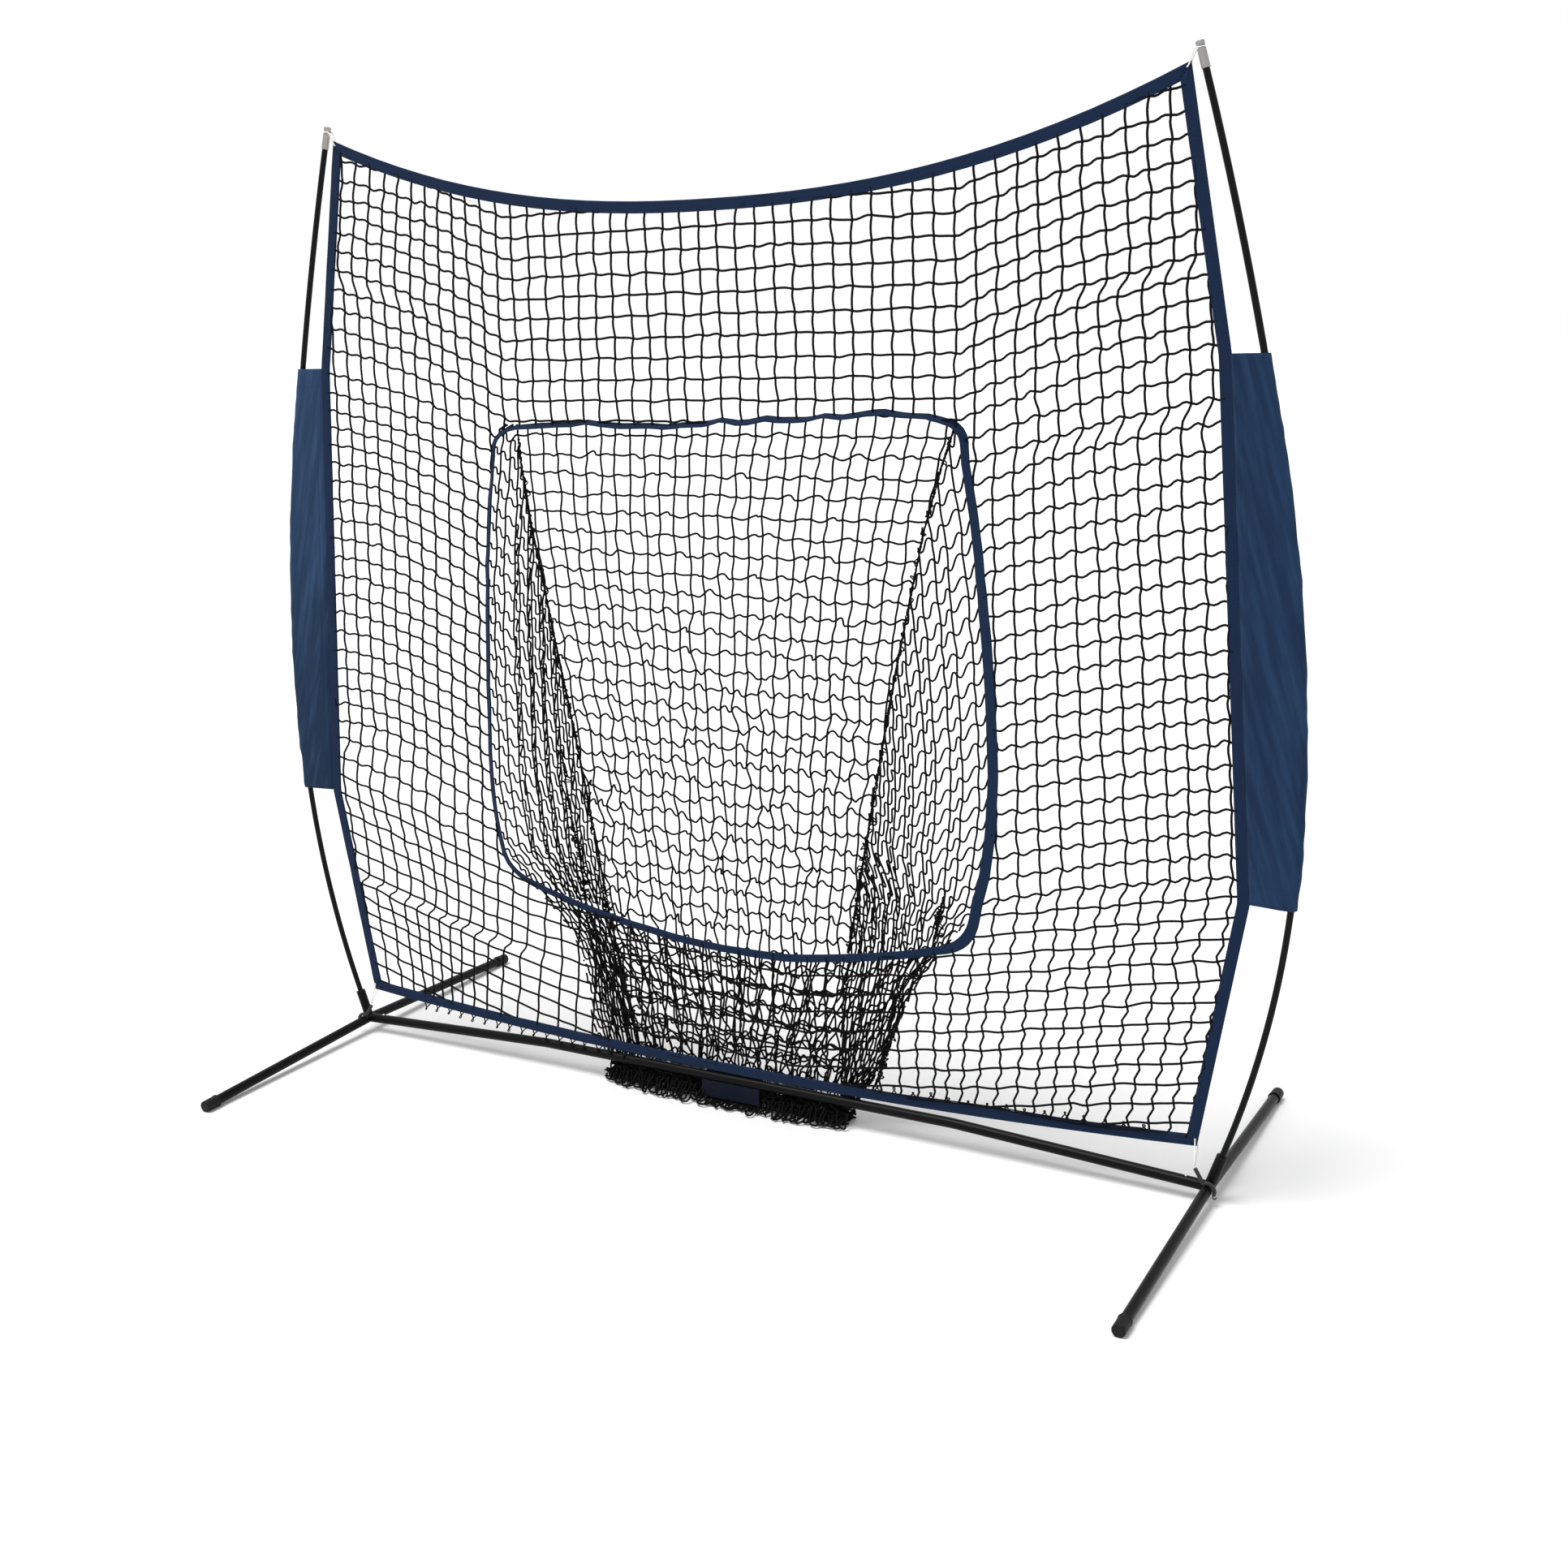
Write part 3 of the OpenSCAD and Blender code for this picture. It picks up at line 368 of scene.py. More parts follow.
def finished(name, code, rough, grain, bump, worn=None, span=(0.0, 1.0), tones=(), dulled=(), **shader):
    """A material with a fine grain that bumps it, and with wear that tones it and dulls it.

    grain and worn are patterns: a kind of texture, its stretch along X, Y and Z in metres, and
    its settings. Without its own pattern the wear follows the grain. bump is a depth in metres
    and a strength, span the part of the wear that counts, tones the two colours that it runs
    between and dulled the two roughnesses.
    """
    made, tree, bsdf = material(name, code, Roughness=rough, **shader)
    where = add(tree, "ShaderNodeTexCoord").outputs["Object"]

    def pattern(kind, stretch, settings):
        place = add(tree, "ShaderNodeMapping", {"Vector": where, "Scale": stretch}).outputs[0]
        return add(tree, kind, {"Vector": place, **settings}).outputs[0]

    fine = pattern(*grain)
    raised = add(tree, "ShaderNodeBump", {"Height": fine, "Distance": bump[0], "Strength": bump[1]})
    tree.links.new(raised.outputs[0], bsdf.inputs["Normal"])
    wear = pattern(*worn) if worn else fine
    wear = add(tree, "ShaderNodeMapRange", {0: wear, 1: span[0], 2: span[1]}).outputs[0]
    if tones:
        tone = add(tree, "ShaderNodeMix", {0: wear, 6: colour(tones[0]), 7: colour(tones[1])},
                   data_type="RGBA")
        tree.links.new(tone.outputs[2], bsdf.inputs["Base Color"])
    if dulled:
        dull = add(tree, "ShaderNodeMapRange", {0: wear, 3: dulled[0], 4: dulled[1]})
        tree.links.new(dull.outputs[0], bsdf.inputs["Roughness"])
    return made


def bare_metal(name, code, rough, stretch):
    """Bare or plated metal: fine marks left by the machine, and a little handling haze."""
    return finished(name, code, rough, (NOISE, stretch, {"Scale": 1.0, "Detail": 4.0}), (0.00006, 0.6),
                    (NOISE, EVEN, {"Scale": 60.0, "Detail": 3.0}), (0.3, 0.7),
                    dulled=(rough - 0.08, rough + 0.14), Metallic=1.0)


def woven(name, dark, pale, thread, rib=0.0, fade=0.5, painted_top_light=0.0, painted_fold_lean=0.0):
    """Woven cloth: threads cross over and under (drawn at twice their real width), the dye is
    uneven by a few per cent, and the loose fibres catch the light at the edges. Painted top light
    makes the cloth paler the higher it hangs, as on a lit copy of a cloth. Painted fold light gives
    it long paler and darker streaks along its folds, painted light and shade that lean by the
    given number of degrees from upright.
    """
    made, tree, bsdf = material(name, dark, Roughness=0.85, Sheen_Weight=0.04, Sheen_Roughness=0.4,
                                Specular_IOR_Level=0.12)
    where = add(tree, "ShaderNodeTexCoord").outputs
    on_cloth = add(tree, "ShaderNodeMapping", {"Vector": where["UV"], "Scale": (1 / thread,) * 3}).outputs[0]
    wave = {"Vector": on_cloth, "Scale": 0.31, "Distortion": 0.6, "Detail": 1.0}
    warp, weft = [add(tree, "ShaderNodeTexWave", wave, bands_direction=way).outputs[1] for way in "XY"]
    check = add(tree, "ShaderNodeTexChecker", {"Vector": on_cloth, "Scale": 1.0}).outputs[1]
    over = add(tree, "ShaderNodeMix", {0: check, 2: warp, 3: weft}, data_type="FLOAT").outputs[0]
    raised = add(tree, "ShaderNodeBump", {"Height": over, "Distance": thread * (0.35 + rib),
                                          "Strength": 0.6})
    tree.links.new(raised.outputs[0], bsdf.inputs["Normal"])

    dye = add(tree, NOISE, {"Vector": where["Object"], "Scale": 14.0, "Detail": 7.0, "Roughness": 0.65})
    height = add(tree, "ShaderNodeSeparateXYZ", {0: where["Object"]})
    # each shade: what it follows, from where to where, and how pale it is at either end. The first
    # is the dye's own unevenness, the second painted light that makes the cloth paler the higher it hangs
    shades = [(dye.outputs[0], 0.0, 1.0, 0.5 - fade * 0.4, 0.5 + fade * 0.4),
              (height.outputs[2], 0.62, 1.62, -painted_top_light / 2, painted_top_light / 2)]
    # painted light and shade: long paler and darker streaks along the folds, leaning from upright
    if painted_fold_lean:
        leaning = add(tree, "ShaderNodeMapping", {"Vector": where["Object"], "Scale": (0.014, 0.014, 0.17),
                      "Rotation": (0, math.radians(painted_fold_lean), 0)}, vector_type="TEXTURE")
        painted_fold_light = add(tree, NOISE, {"Vector": leaning.outputs[0], "Scale": 1.0, "Detail": 3.0})
        shades.append((painted_fold_light.outputs[0], 0.38, 0.68, -0.32, 0.42))
    shade = 0.0
    for value, start, end, low, high in shades:
        part = add(tree, "ShaderNodeMapRange", {0: value, 1: start, 2: end, 3: low, 4: high})
        shade = add(tree, "ShaderNodeMath", {0: shade, 1: part.outputs[0]}, operation="ADD").outputs[0]
    dyed_and_lit = add(tree, "ShaderNodeMix", {0: shade, 6: colour(dark), 7: colour(pale)}, data_type="RGBA")
    deep = add(tree, "ShaderNodeMapRange", {0: over, 3: 0.78, 4: 1.06})
    tone = add(tree, "ShaderNodeVectorMath", {0: dyed_and_lit.outputs[2], "Scale": deep.outputs[0]},
               operation="SCALE")
    tree.links.new(tone.outputs[0], bsdf.inputs["Base Color"])
    return made


# baked powder on steel tube: satin, with a faint orange peel and dusty scuffs
coat = finished("black powder coat", "0a0a0b", 0.42, (NOISE, EVEN, {"Scale": 700.0, "Detail": 2.0}),
                (0.00012, 0.35), (NOISE, EVEN, {"Scale": 9.0, "Detail": 6.0, "Roughness": 0.7}),
                (0.55, 0.8), ("080809", "101011"), (0.34, 0.55), Specular_IOR_Level=0.1)
# injection-moulded plastic: dull, with a fine spark-eroded grain
plastic = finished("black moulded plastic", "111112", 0.55, (NOISE, EVEN, {"Scale": 1500.0, "Detail": 3.0}),
                   (0.00015, 0.5), (NOISE, EVEN, {"Scale": 40.0, "Detail": 5.0}), dulled=(0.45, 0.68),
                   Specular_IOR_Level=0.18)
plated = bare_metal("nickel-plated steel", "b9b9b4", 0.28, (300, 300, 900))
spring = bare_metal("spring steel", "8d8d88", 0.35, (1500, 100, 100))
anodised = bare_metal("black anodised sleeve", "242427", 0.34, (200, 200, 1500))
ferrule = bare_metal("cast zinc ferrule", "9b9896", 0.42, (250, 250, 1600))
hook = bare_metal("dark wire", "3a3a3c", 0.38, (900, 900, 900))
# pultruded rod: glossy resin with long glass fibres that show as faint streaks
rod = finished("black fibreglass", "111113", 0.32, (NOISE, (900, 900, 12), {"Scale": 1.0, "Detail": 4.0}),
               (0.00008, 0.5), span=(0.4, 0.75), tones=("0a0a0b", "121214"), Specular_IOR_Level=0.1)
# twisted polyester cord, tarred stiff: almost no shine, a fine rope lay
netting = finished("black net cord", "030304", 0.7, (NOISE, EVEN, {"Scale": 900.0, "Detail": 3.0}),
                   (0.0004, 0.7), span=(0.35, 0.7), tones=("020203", "09090a"), Specular_IOR_Level=0.1)
webbing = woven("navy webbing", "10203a", "1b3050", 0.0016, rib=0.2)
# the right sleeve's cloth, with painted light and shade in streaks along its folds
oxford = woven("navy oxford cloth", "182b49", "254061", 0.0011, fade=0.3, painted_fold_lean=-17)
# a lit copy of the sleeves' cloth for the left sleeve: painted paler all over, painted paler still the higher
# it hangs, and with painted light and shade along its folds
lit_oxford = woven("sun-bleached navy oxford cloth", "1d324d", "334d70", 0.0011, fade=0.25,
                     painted_top_light=0.9, painted_fold_lean=15)
# the sleeves' cloth darkened with painted shade, for the flap that wraps the crossbar and hangs under it
flap_cloth_in_painted_shade = woven("dark navy oxford cloth", "09101c", "101a2c", 0.0011)
thread = woven("navy thread", "22375a", "33496e", 0.0006)
# braided elastic: tiny crossed threads and a soft, slightly grey white
elastic = finished("white elastic", "e9e9e6", 0.7, (CELLS, EVEN, {"Scale": 900.0}), (0.0003, 0.8),
                   span=(0.0, 0.6), tones=("cfcfcc", "f2f2ef"), Sheen_Weight=0.2)
# shock cord in a woven sock: dull, with a visible braid
shock_cord = finished("black shock cord", "121213", 0.7, (CELLS, EVEN, {"Scale": 600.0}), (0.0006, 0.9),
                      tones=("19191b", "0b0b0c"), Sheen_Weight=0.15)

# %% [markdown]
# ## Finishes on the hard parts
# The CAD shapes stay exactly as they are. Only the material in each object's slots changes.

# %% Paint the hard parts
HARD = {
    "leg_": coat, "crossbar_": coat, "pole_socket_": coat, "socket_bush_": plastic,
    "end_cap_": plastic, "snap_button_": plated, "button_spring_": spring, "pole_lower_": rod,
    "pole_middle_": rod, "pole_upper_": rod, "pole_couplers_": anodised, "pole_tip_": ferrule,
}
painted = 0
for item in list(bpy.data.objects):
    from_frame = item.get("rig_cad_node")
    coating = next((m for start, m in HARD.items() if from_frame and item.name.startswith(start)), None)
    if coating is not None:
        for place in item.material_slots:
            place.material = coating
        if not item.material_slots:
            item.data.materials.append(coating)
        painted += 1
print("hard parts given a finish:", painted)

# %% [markdown]
# ## Two Geometry Nodes trees: cord and stitches
# Real netting is one long cord knotted over and over, so it is made the same way here: plain
# paths say where each cord runs, loose points say where it is knotted, and one tree sweeps a
# round section along every path and ties a small knot on every loose point. A second tree lays
# one short thread on each point, turned to the direction that the point carries.

# %% Two node trees


def tree_of(name, numbers, shaped):
    """A tree with these number inputs; what `shaped` makes is rounded off and gets its material."""
    tree = bpy.data.node_groups.new(name, "GeometryNodeTree")
    ids = {}
    for key, kind in [("Geometry", "Geometry"), *numbers, ("Material", "Material")]:
        socket = tree.interface.new_socket(name=key, in_out="INPUT", socket_type="NodeSocket" + kind)
        ids[key] = socket.identifier
    tree.interface.new_socket(name="Geometry", in_out="OUTPUT", socket_type="NodeSocketGeometry")
    given = add(tree, "NodeGroupInput").outputs
    rounded = add(tree, "GeometryNodeSetShadeSmooth", {"Geometry": shaped(tree, given)})
    dressed = add(tree, "GeometryNodeSetMaterial", {"Geometry": rounded.outputs[0],
                                                    "Material": given["Material"]})
    add(tree, "NodeGroupOutput", {"Geometry": dressed.outputs[0]})
    return tree, ids


def cords(tree, given):
    """A round section swept along every path, and a bead on every point that is tied."""
    runs = add(tree, "GeometryNodeMeshToCurve", {"Mesh": given["Geometry"]})
    ring = add(tree, "GeometryNodeCurvePrimitiveCircle", {"Resolution": given["Sides"],
                                                          "Radius": given["Cord Radius"]})
    swept = add(tree, "GeometryNodeCurveToMesh", {"Curve": runs.outputs[0], "Profile Curve": ring.outputs[0],
                                                  "Fill Caps": True})
    tied = add(tree, "GeometryNodeInputNamedAttribute", {"Name": "knot"}, data_type="BOOLEAN")
    spots = add(tree, "GeometryNodeMeshToPoints", {"Mesh": given["Geometry"],
                                                   "Selection": tied.outputs[0]})
    bead = add(tree, "GeometryNodeMeshUVSphere", {"Segments": 6, "Rings": 4, "Radius": given["Knot Radius"]})
    knots = add(tree, "GeometryNodeInstanceOnPoints", {
        "Points": spots.outputs[0], "Instance": bead.outputs[0], "Scale": (1.15, 1.0, 0.9)})
    real = add(tree, "GeometryNodeRealizeInstances", {0: knots.outputs[0]})
    both = add(tree, "GeometryNodeJoinGeometry")
    tree.links.new(real.outputs[0], both.inputs[0])
    tree.links.new(swept.outputs[0], both.inputs[0])
    return both.outputs[0]


def threads(tree, given):
    """A long bead on every point, turned to the point's own direction."""
    spots = add(tree, "GeometryNodeMeshToPoints", {"Mesh": given["Geometry"]})
    run = add(tree, "GeometryNodeInputNamedAttribute", {"Name": "along"}, data_type="FLOAT_VECTOR")
    turned = add(tree, "FunctionNodeAlignRotationToVector", {"Vector": run.outputs[0]}, axis="Z")
    size = add(tree, "ShaderNodeCombineXYZ", {"X": given["Thickness"], "Y": given["Thickness"],
                                              "Z": given["Length"]})
    bead = add(tree, "GeometryNodeMeshUVSphere", {"Segments": 5, "Rings": 4, "Radius": 0.5})
    laid = add(tree, "GeometryNodeInstanceOnPoints", {"Points": spots.outputs[0], "Instance": bead.outputs[0],
               "Rotation": turned.outputs[0], "Scale": size.outputs[0]})
    return add(tree, "GeometryNodeRealizeInstances", {0: laid.outputs[0]}).outputs[0]


CORD = tree_of("knotted cord", [("Cord Radius", "Float"), ("Sides", "Int"), ("Knot Radius", "Float")], cords)
STITCH = tree_of("stitches", [("Length", "Float"), ("Thickness", "Float")], threads)


def grown_by(kind, name, mesh, values):
    """Run a tree on a mesh with these inputs, and keep the result as a plain mesh."""
    tree, ids = kind
    made = bpy.data.objects.new(name, mesh)
    scene.collection.objects.link(made)
    work = made.modifiers.new(tree.name, "NODES")
    work.node_group = tree
    for key, value in values.items():
        work[ids[key]] = value
    bpy.context.view_layer.update()
    ready = made.evaluated_get(bpy.context.evaluated_depsgraph_get())
    result = bpy.data.meshes.new_from_object(ready)
    made.modifiers.clear()
    made.data = result
    bpy.data.meshes.remove(mesh)
    result.name = name
    bm = bmesh.new()
    bm.from_mesh(result)
    bmesh.ops.recalc_face_normals(bm, faces=bm.faces)
    bm.to_mesh(result)
    bm.free()
    if not result.materials:
        result.materials.append(values["Material"])
    return made


def corded(name, paths, knots, finish, radius, knot=0.0, sides=5, stands_for=()):
    """Cords along paths (millimetres) with knots on points, as one piece."""
    verts, edges = [], []
    for path in paths:
        start = len(verts)
        verts += [tuple(p) for p in np.asarray(path) * MM]
        edges += [(start + i, start + i + 1) for i in range(len(path) - 1)]
    first_knot = len(verts)
    verts += [tuple(p) for p in np.asarray(knots).reshape(-1, 3) * MM]
    mesh = bpy.data.meshes.new(name + " paths")
    mesh.from_pydata(verts, edges, [])
    tied = mesh.attributes.new("knot", "BOOLEAN", "POINT")
    tied.data.foreach_set("value", [i >= first_knot for i in range(len(verts))])
    made = grown_by(CORD, name, mesh, {"Cord Radius": radius * MM, "Sides": sides,
                                       "Knot Radius": knot * MM, "Material": finish})
    print(f"{name}: {len(paths)} cords, {len(knots)} knots, {len(made.data.polygons)} faces")
    return settled(made, stands_for=stands_for)


def sewn(name, runs, pitch=6.0, length=4.0, thick=0.9, body="frame"):
    """Stitches along lines (millimetres), all on one piece."""
    points, ways = [], []
    for line in runs:
        line = np.asarray(line, float)
        run = distance(line)
        at = np.arange(pitch, run[-1], pitch)
        here = np.stack([np.interp(at, run, line[:, k]) for k in range(3)], axis=1)
        ahead_of = np.stack([np.interp(at + 1, run, line[:, k]) for k in range(3)], axis=1)
        points += list(here * MM)
        ways += list(ahead_of - here)
    mesh = bpy.data.meshes.new(name + " points")
    mesh.from_pydata([tuple(p) for p in points], [], [])
    way = mesh.attributes.new("along", "FLOAT_VECTOR", "POINT")
    way.data.foreach_set("vector", np.asarray(ways, float).ravel())
    made = grown_by(STITCH, name, mesh, {"Length": length * MM, "Thickness": thick * MM,
                                         "Material": thread})
    print(f"{name}: {len(points)} stitches")
    return settled(made, body)


# %% [markdown]
# ## How a net hangs
# A square-mesh net is stiff along its cords and soft across them: pulled out of square, each
# knot keeps its right angle and the cord between two knots bends into an S. `hung` draws
# exactly that. It takes the knots as a grid of points, turns each knot by only part of the
# angle that the net has been sheared, and joins the knots by smooth curves. Where cords are
# slack they get a longer pull at each knot, which throws them into loops. A border function,
# positive inside, trims every cord where it goes under its tape.

# %% Hanging a net
SHORTEST = 3  # millimetres of cord that are worth drawing
CLEAR = 2.5  # millimetres from the border to the nearest knot


def curve_between(a, b, ta, tb, n):
    """Points of a smooth curve from a to b that leaves along ta and arrives along tb."""
    t = (np.arange(n) / n)[:, None, None]
    t2, t3 = t * t, t * t * t
    return (2 * t3 - 3 * t2 + 1) * a + (t3 - 2 * t2 + t) * ta + (3 * t2 - 2 * t3) * b + (t3 - t2) * tb


def line_through(points, pulls, n, arrivals=None):
    """One smooth line through knots, with n steps from each knot to the next."""
    arrivals = pulls if arrivals is None else arrivals
    part = curve_between(points[:-1], points[1:], pulls[:-1], arrivals[1:], n)
    return np.concatenate([part.transpose(1, 0, 2).reshape(-1, 3), points[-1:]])


def trimmed(line, border):
    """The stretches of a line where border is positive, cut exactly at its edge."""
    value = border(line)
    good = value > 0

    def cut(i):
        return line[i - 1] + (line[i] - line[i - 1]) * value[i - 1] / (value[i - 1] - value[i])

    parts, start = [], None
    for i in range(len(line)):
        if good[i] and start is None:
            start, head = i, [cut(i)] if i else []
        if start is not None and (not good[i] or i == len(line) - 1):
            stop, tail = (i + 1, []) if good[i] else (i, [cut(i)])
            found = np.array([*head, *line[start:stop], *tail])
            if len(found) > 1 and np.linalg.norm(np.diff(found, axis=0), axis=1).sum() > SHORTEST:
                parts.append(found)
            start = None
    return parts


def hung(knots, border, reach, leave=None, reach_pull=60.0, leave_pull=None, drop=0.0, drop_in=None,
         drop_pull=1.1, jitter=0.08, sway=0.05, steps=(6, 4), seed=0):
    """Cord paths and knot points of a net whose knots are knots[row, column] in millimetres.

    reach and leave are the angles from level at which a row comes into a knot and goes on from
    it, with a pull in millimetres: the longer the pull, the deeper the S. drop is the angle from
    plumb at which a column leaves a knot, and drop_in the angle at which it comes into the next.
    """
    r = np.random.default_rng(seed)
    shape = knots.shape[:2]
    across_way, down_way = np.gradient(knots, axis=1), np.gradient(knots, axis=0)
    turned = r.normal(0, jitter, shape)
    swing = r.normal(0, sway, shape)

    def row_way(angle, pull):
        angle, pull = np.broadcast_to(angle, shape) + turned, np.broadcast_to(pull, shape)
        off_plane = across_way[..., 1] + swing * pull
        return np.stack([np.cos(angle) * pull, off_plane, np.sin(angle) * pull], axis=2)

    into = onward = row_way(reach, reach_pull)
    if leave is not None:
        onward = row_way(leave, reach_pull if leave_pull is None else leave_pull)
    length = np.linalg.norm(down_way, axis=2) * drop_pull

    def column_way(angle):
        plumb = np.broadcast_to(angle, shape) + 0.7 * turned
        off_plane = down_way[..., 1] - swing * length
        return np.stack([np.sin(plumb) * length, off_plane, -np.cos(plumb) * length], axis=2)

    away, home = column_way(drop), column_way(drop if drop_in is None else drop_in)
    paths = []
    for j in range(shape[0]):
        paths += trimmed(line_through(knots[j], onward[j], steps[0], into[j]), border)
    for i in range(shape[1]):
        paths += trimmed(line_through(knots[:, i], away[:, i], steps[1], home[:, i]), border)
    flat = knots.reshape(-1, 3)
    return paths, flat[border(flat) > CLEAR]


def netted(name, paths, ties, stands_for=()):
    """A piece of the pocket's netting."""
    return corded(name, paths, ties, netting, POCKET_CORD, POCKET_CORD + 0.4,
                  stands_for=stands_for)


# %% [markdown]
# ## The face netting
# Above the window the rows hang level, and outside it they climb to the side tapes by a quarter
# to a third of what they run, because the window's corners pull the middle down. The tapes
# gather the netting unevenly. On the left the columns bow out beside the window and crowd
# towards the tape, and at the foot they step sideways by half a mesh. On the right they lean out
# between two jogs by the tape, and below the window the whole net climbs by one in six.

# %% Face netting
CELL, FACE_CORD, POCKET_CORD = 42.8, 2.5, 2.3
ROW_GAPS = 42.4, 44.86, 44  # above the window's top, beside the window, and below it
TOP_ROW, LOW_ROW = 1504.5, 517.5  # the rows from which those gaps are counted
JOGS = 1390, 1665  # heights at which the right side's columns jog by the tape
LOW = 500  # below this height the rows follow the bottom tape


def side_x(z):
    """Outer edge of the face's side tape at height z."""
    return np.interp(z, [bottom_corner[1], edge_low[1], edge_high[1], top_corner[1]],
                     [bottom_corner[0], edge_low[0], edge_high[0], top_corner[0]])


# the window's left and right sides: heights, and how far sideways the pocket pulls them there
LEFT_PULL = ([440, 520, 600, 700, 850, 1020, 1190, 1506], [-24, -34, -36, -31, -17, -9, -10, -15])
RIGHT_PULL = ([440, 550, 610, 700, 800, 950, 1150, 1450, 1506], [-14, -11, -3, -2, -4, -13, -19, -14, -2])
# the window's lower and upper edges: places along them, and how far up they are pulled there
LOW_PULL = ([-600, -520, -400, -200, 0, 150, 300, 450, 600], [9, 7, 4, 2, -4, -9, -6, -7, -8])
HIGH_PULL = ([-500, -400, -310, -220, -90, -20, 16, 50, 120, 150, 215, 250, 285, 375, 410, 470, 505],
             [-14, -11, -5, -12, -12, -7, 2, -4, 5, 0, 3, 10, 6, 16, 11, 7, 0])


def pulled(x, z):
    """How far the pocket's weight pulls the window out of its cut shape here: sideways, and up."""
    left, right = np.interp(z, *LEFT_PULL), np.interp(z, *RIGHT_PULL)
    sideways = left + (right - left) * ease((x + 450) / 900)
    low, high = np.interp(x, *LOW_PULL), np.interp(x, *HIGH_PULL)
    return sideways, low * ease((620 - z) / 150) + high * ease((z - 1440) / 60)


def face_border(p, tuck=9.0):
    """Positive on the face's netting, up to the middle of its tapes."""
    x, z = np.abs(p[:, 0]), p[:, 2]
    edge = np.minimum(np.minimum(top_z(x) - z, z - low_z(x)), side_x(z) - x) - BAND_W + tuck
    sideways, up = pulled(p[:, 0], z)
    x, z = np.abs(p[:, 0] - sideways), z - up
    low_edge = opening_half[::-1][:21]
    bottom = np.interp(x, low_edge[:, 0], low_edge[:, 1], right=-1e4)
    window = np.maximum(np.maximum(x - open_x(z), z - WINDOW_TOP), bottom - z) - 3
    return np.minimum(edge, window)


rows = np.concatenate([TOP_ROW + ROW_GAPS[0] * np.arange(17, 0, -1), TOP_ROW - ROW_GAPS[1] * np.arange(0, 23),
                       LOW_ROW - ROW_GAPS[2] * np.arange(1, 14)])
u, level_z = np.meshgrid(13.1 + CELL * np.arange(-29, 30), rows)
out, left_side, above_low = np.abs(u), u < 0, level_z > LOW


def by_level(levels, values):
    """A number for every knot, known at a few heights of its row."""
    return np.interp(level_z, levels, values)


near_tape, far = ease((out - 550) / 350), ease((out - 600) / 300)
past_window = np.clip(out - 520, 0, None)

# left: how far out the columns stand beside the window and by the tape, and how close together
near_left = by_level([263, 435, 640, 820, 1007, JOGS[0], 1665, 1950], [60, 47, 43, 36, 21, 0, -4, -10])
far_left = by_level([254, 290, 337, 372, 420, 455, 530, 640, 820, 1007, 1390, 1664, 1666, 1950],
                    [16, 15, 21, 28, 38, 48, 45, 43, 36, 21, 0, -10, 3, -38])
close_left = by_level([254, 420, 500, 540, 600, 1390, 1950], [1, 0.976, 0.97, 0.94, 0.911, 0.92, 0.93])
HALF_CELL, STEP_Z = 27, 232  # the step sideways at the foot, and the height where it is
foot_lean = np.interp(out, [460, 650, 780, 910], [0.13, 0.07, 0.01, -0.07]) * (STEP_Z - level_z)
half_cell = np.where(level_z < STEP_Z, HALF_CELL * ease((out - 400) / 150) + foot_lean, 0)
shift_left = ((near_left + (far_left - near_left) * far) * np.clip(out / 520, 0, 1)
              + (close_left - 1) * past_window + half_cell)

# right: leaning out towards the jogs by the tape, and turned the other way below the last one
low_jog, high_jog = JOGS
lean_right = np.where(level_z > high_jog, by_level([high_jog, 1950], [15, 0]),
                      np.where(level_z > low_jog, by_level([low_jog, high_jog], [15, -5]),
                               by_level([LOW, low_jog], [39, -5])))
fallen = np.clip(LOW - level_z, 0, None)
shift_right = np.where(
    above_low, lean_right * (0.3 * ease((out - 440) / 120) + 0.7 * near_tape) - 0.055 * past_window,
    0.05 * np.clip(past_window, 0, 180)
    - (0.10 * ease((out - 440) / 200) + 0.06 * ease((out - 700) / 300)) * fallen
    + np.where(level_z < 335, 16 * ease((out - 850) / 120), 0))
x = u + np.sign(u) * np.where(left_side, shift_left, shift_right) + chance.normal(0, 1.6, u.shape)


def risen(x, level, rises):
    """How far the rows have climbed at x, blended between the heights where it is known."""
    levels = sorted(rises)
    known = np.stack([np.interp(x, *rises[k]) for k in levels])
    share = np.clip(np.interp(level, levels, np.arange(len(levels))), 0, len(levels) - 1.001)
    low = share.astype(int)
    a, b = [np.take_along_axis(known, low[None] + k, 0)[0] for k in (0, 1)]
    return a + (b - a) * (share - low)


# the left's rows by height: places outwards from the middle, and how far a row has climbed there
LEFT_RISES = {
    100: ([250, 420, 560, 750, 1000, 1100], [0, 22, 52, 100, 176, 208]),
    263: ([300, 420, 560, 760, 1020, 1100], [0, 10, 34, 74, 146, 170]),
    500: ([480, 560, 673, 772, 855, 943, 1027, 1104], [0, 10, 48, 78, 107, 132, 154, 175]),
    600: ([500, 560, 673, 746, 825, 903, 982, 1062], [0, 12, 66, 98, 130, 155, 173, 182]),
    1150: ([500, 560, 673, 746, 825, 903, 982, 1062], [0, 12, 69, 103, 135, 160, 174, 180])}
gentle = 949 * (1 - np.exp(-np.clip(out - 530, 0, None) / 700))
rise_left = risen(np.abs(x), level_z + 9.5, LEFT_RISES)
climb_left = by_level([1200, 1445, 1500, 1700, 1876, 2000], [0.30, 0.285, 0.32, 0.345, 0.30, 0.28])
rise_left = rise_left + (climb_left * gentle - rise_left) * ease((level_z - 1150) / 350)
rise_left = rise_left + by_level([0, 517, 700], [9.5, 9.5, 0])
climb_right = by_level([500, 650, 1080, 1500, 1776, 1950], [0.25, 0.245, 0.225, 0.27, 0.245, 0.22])
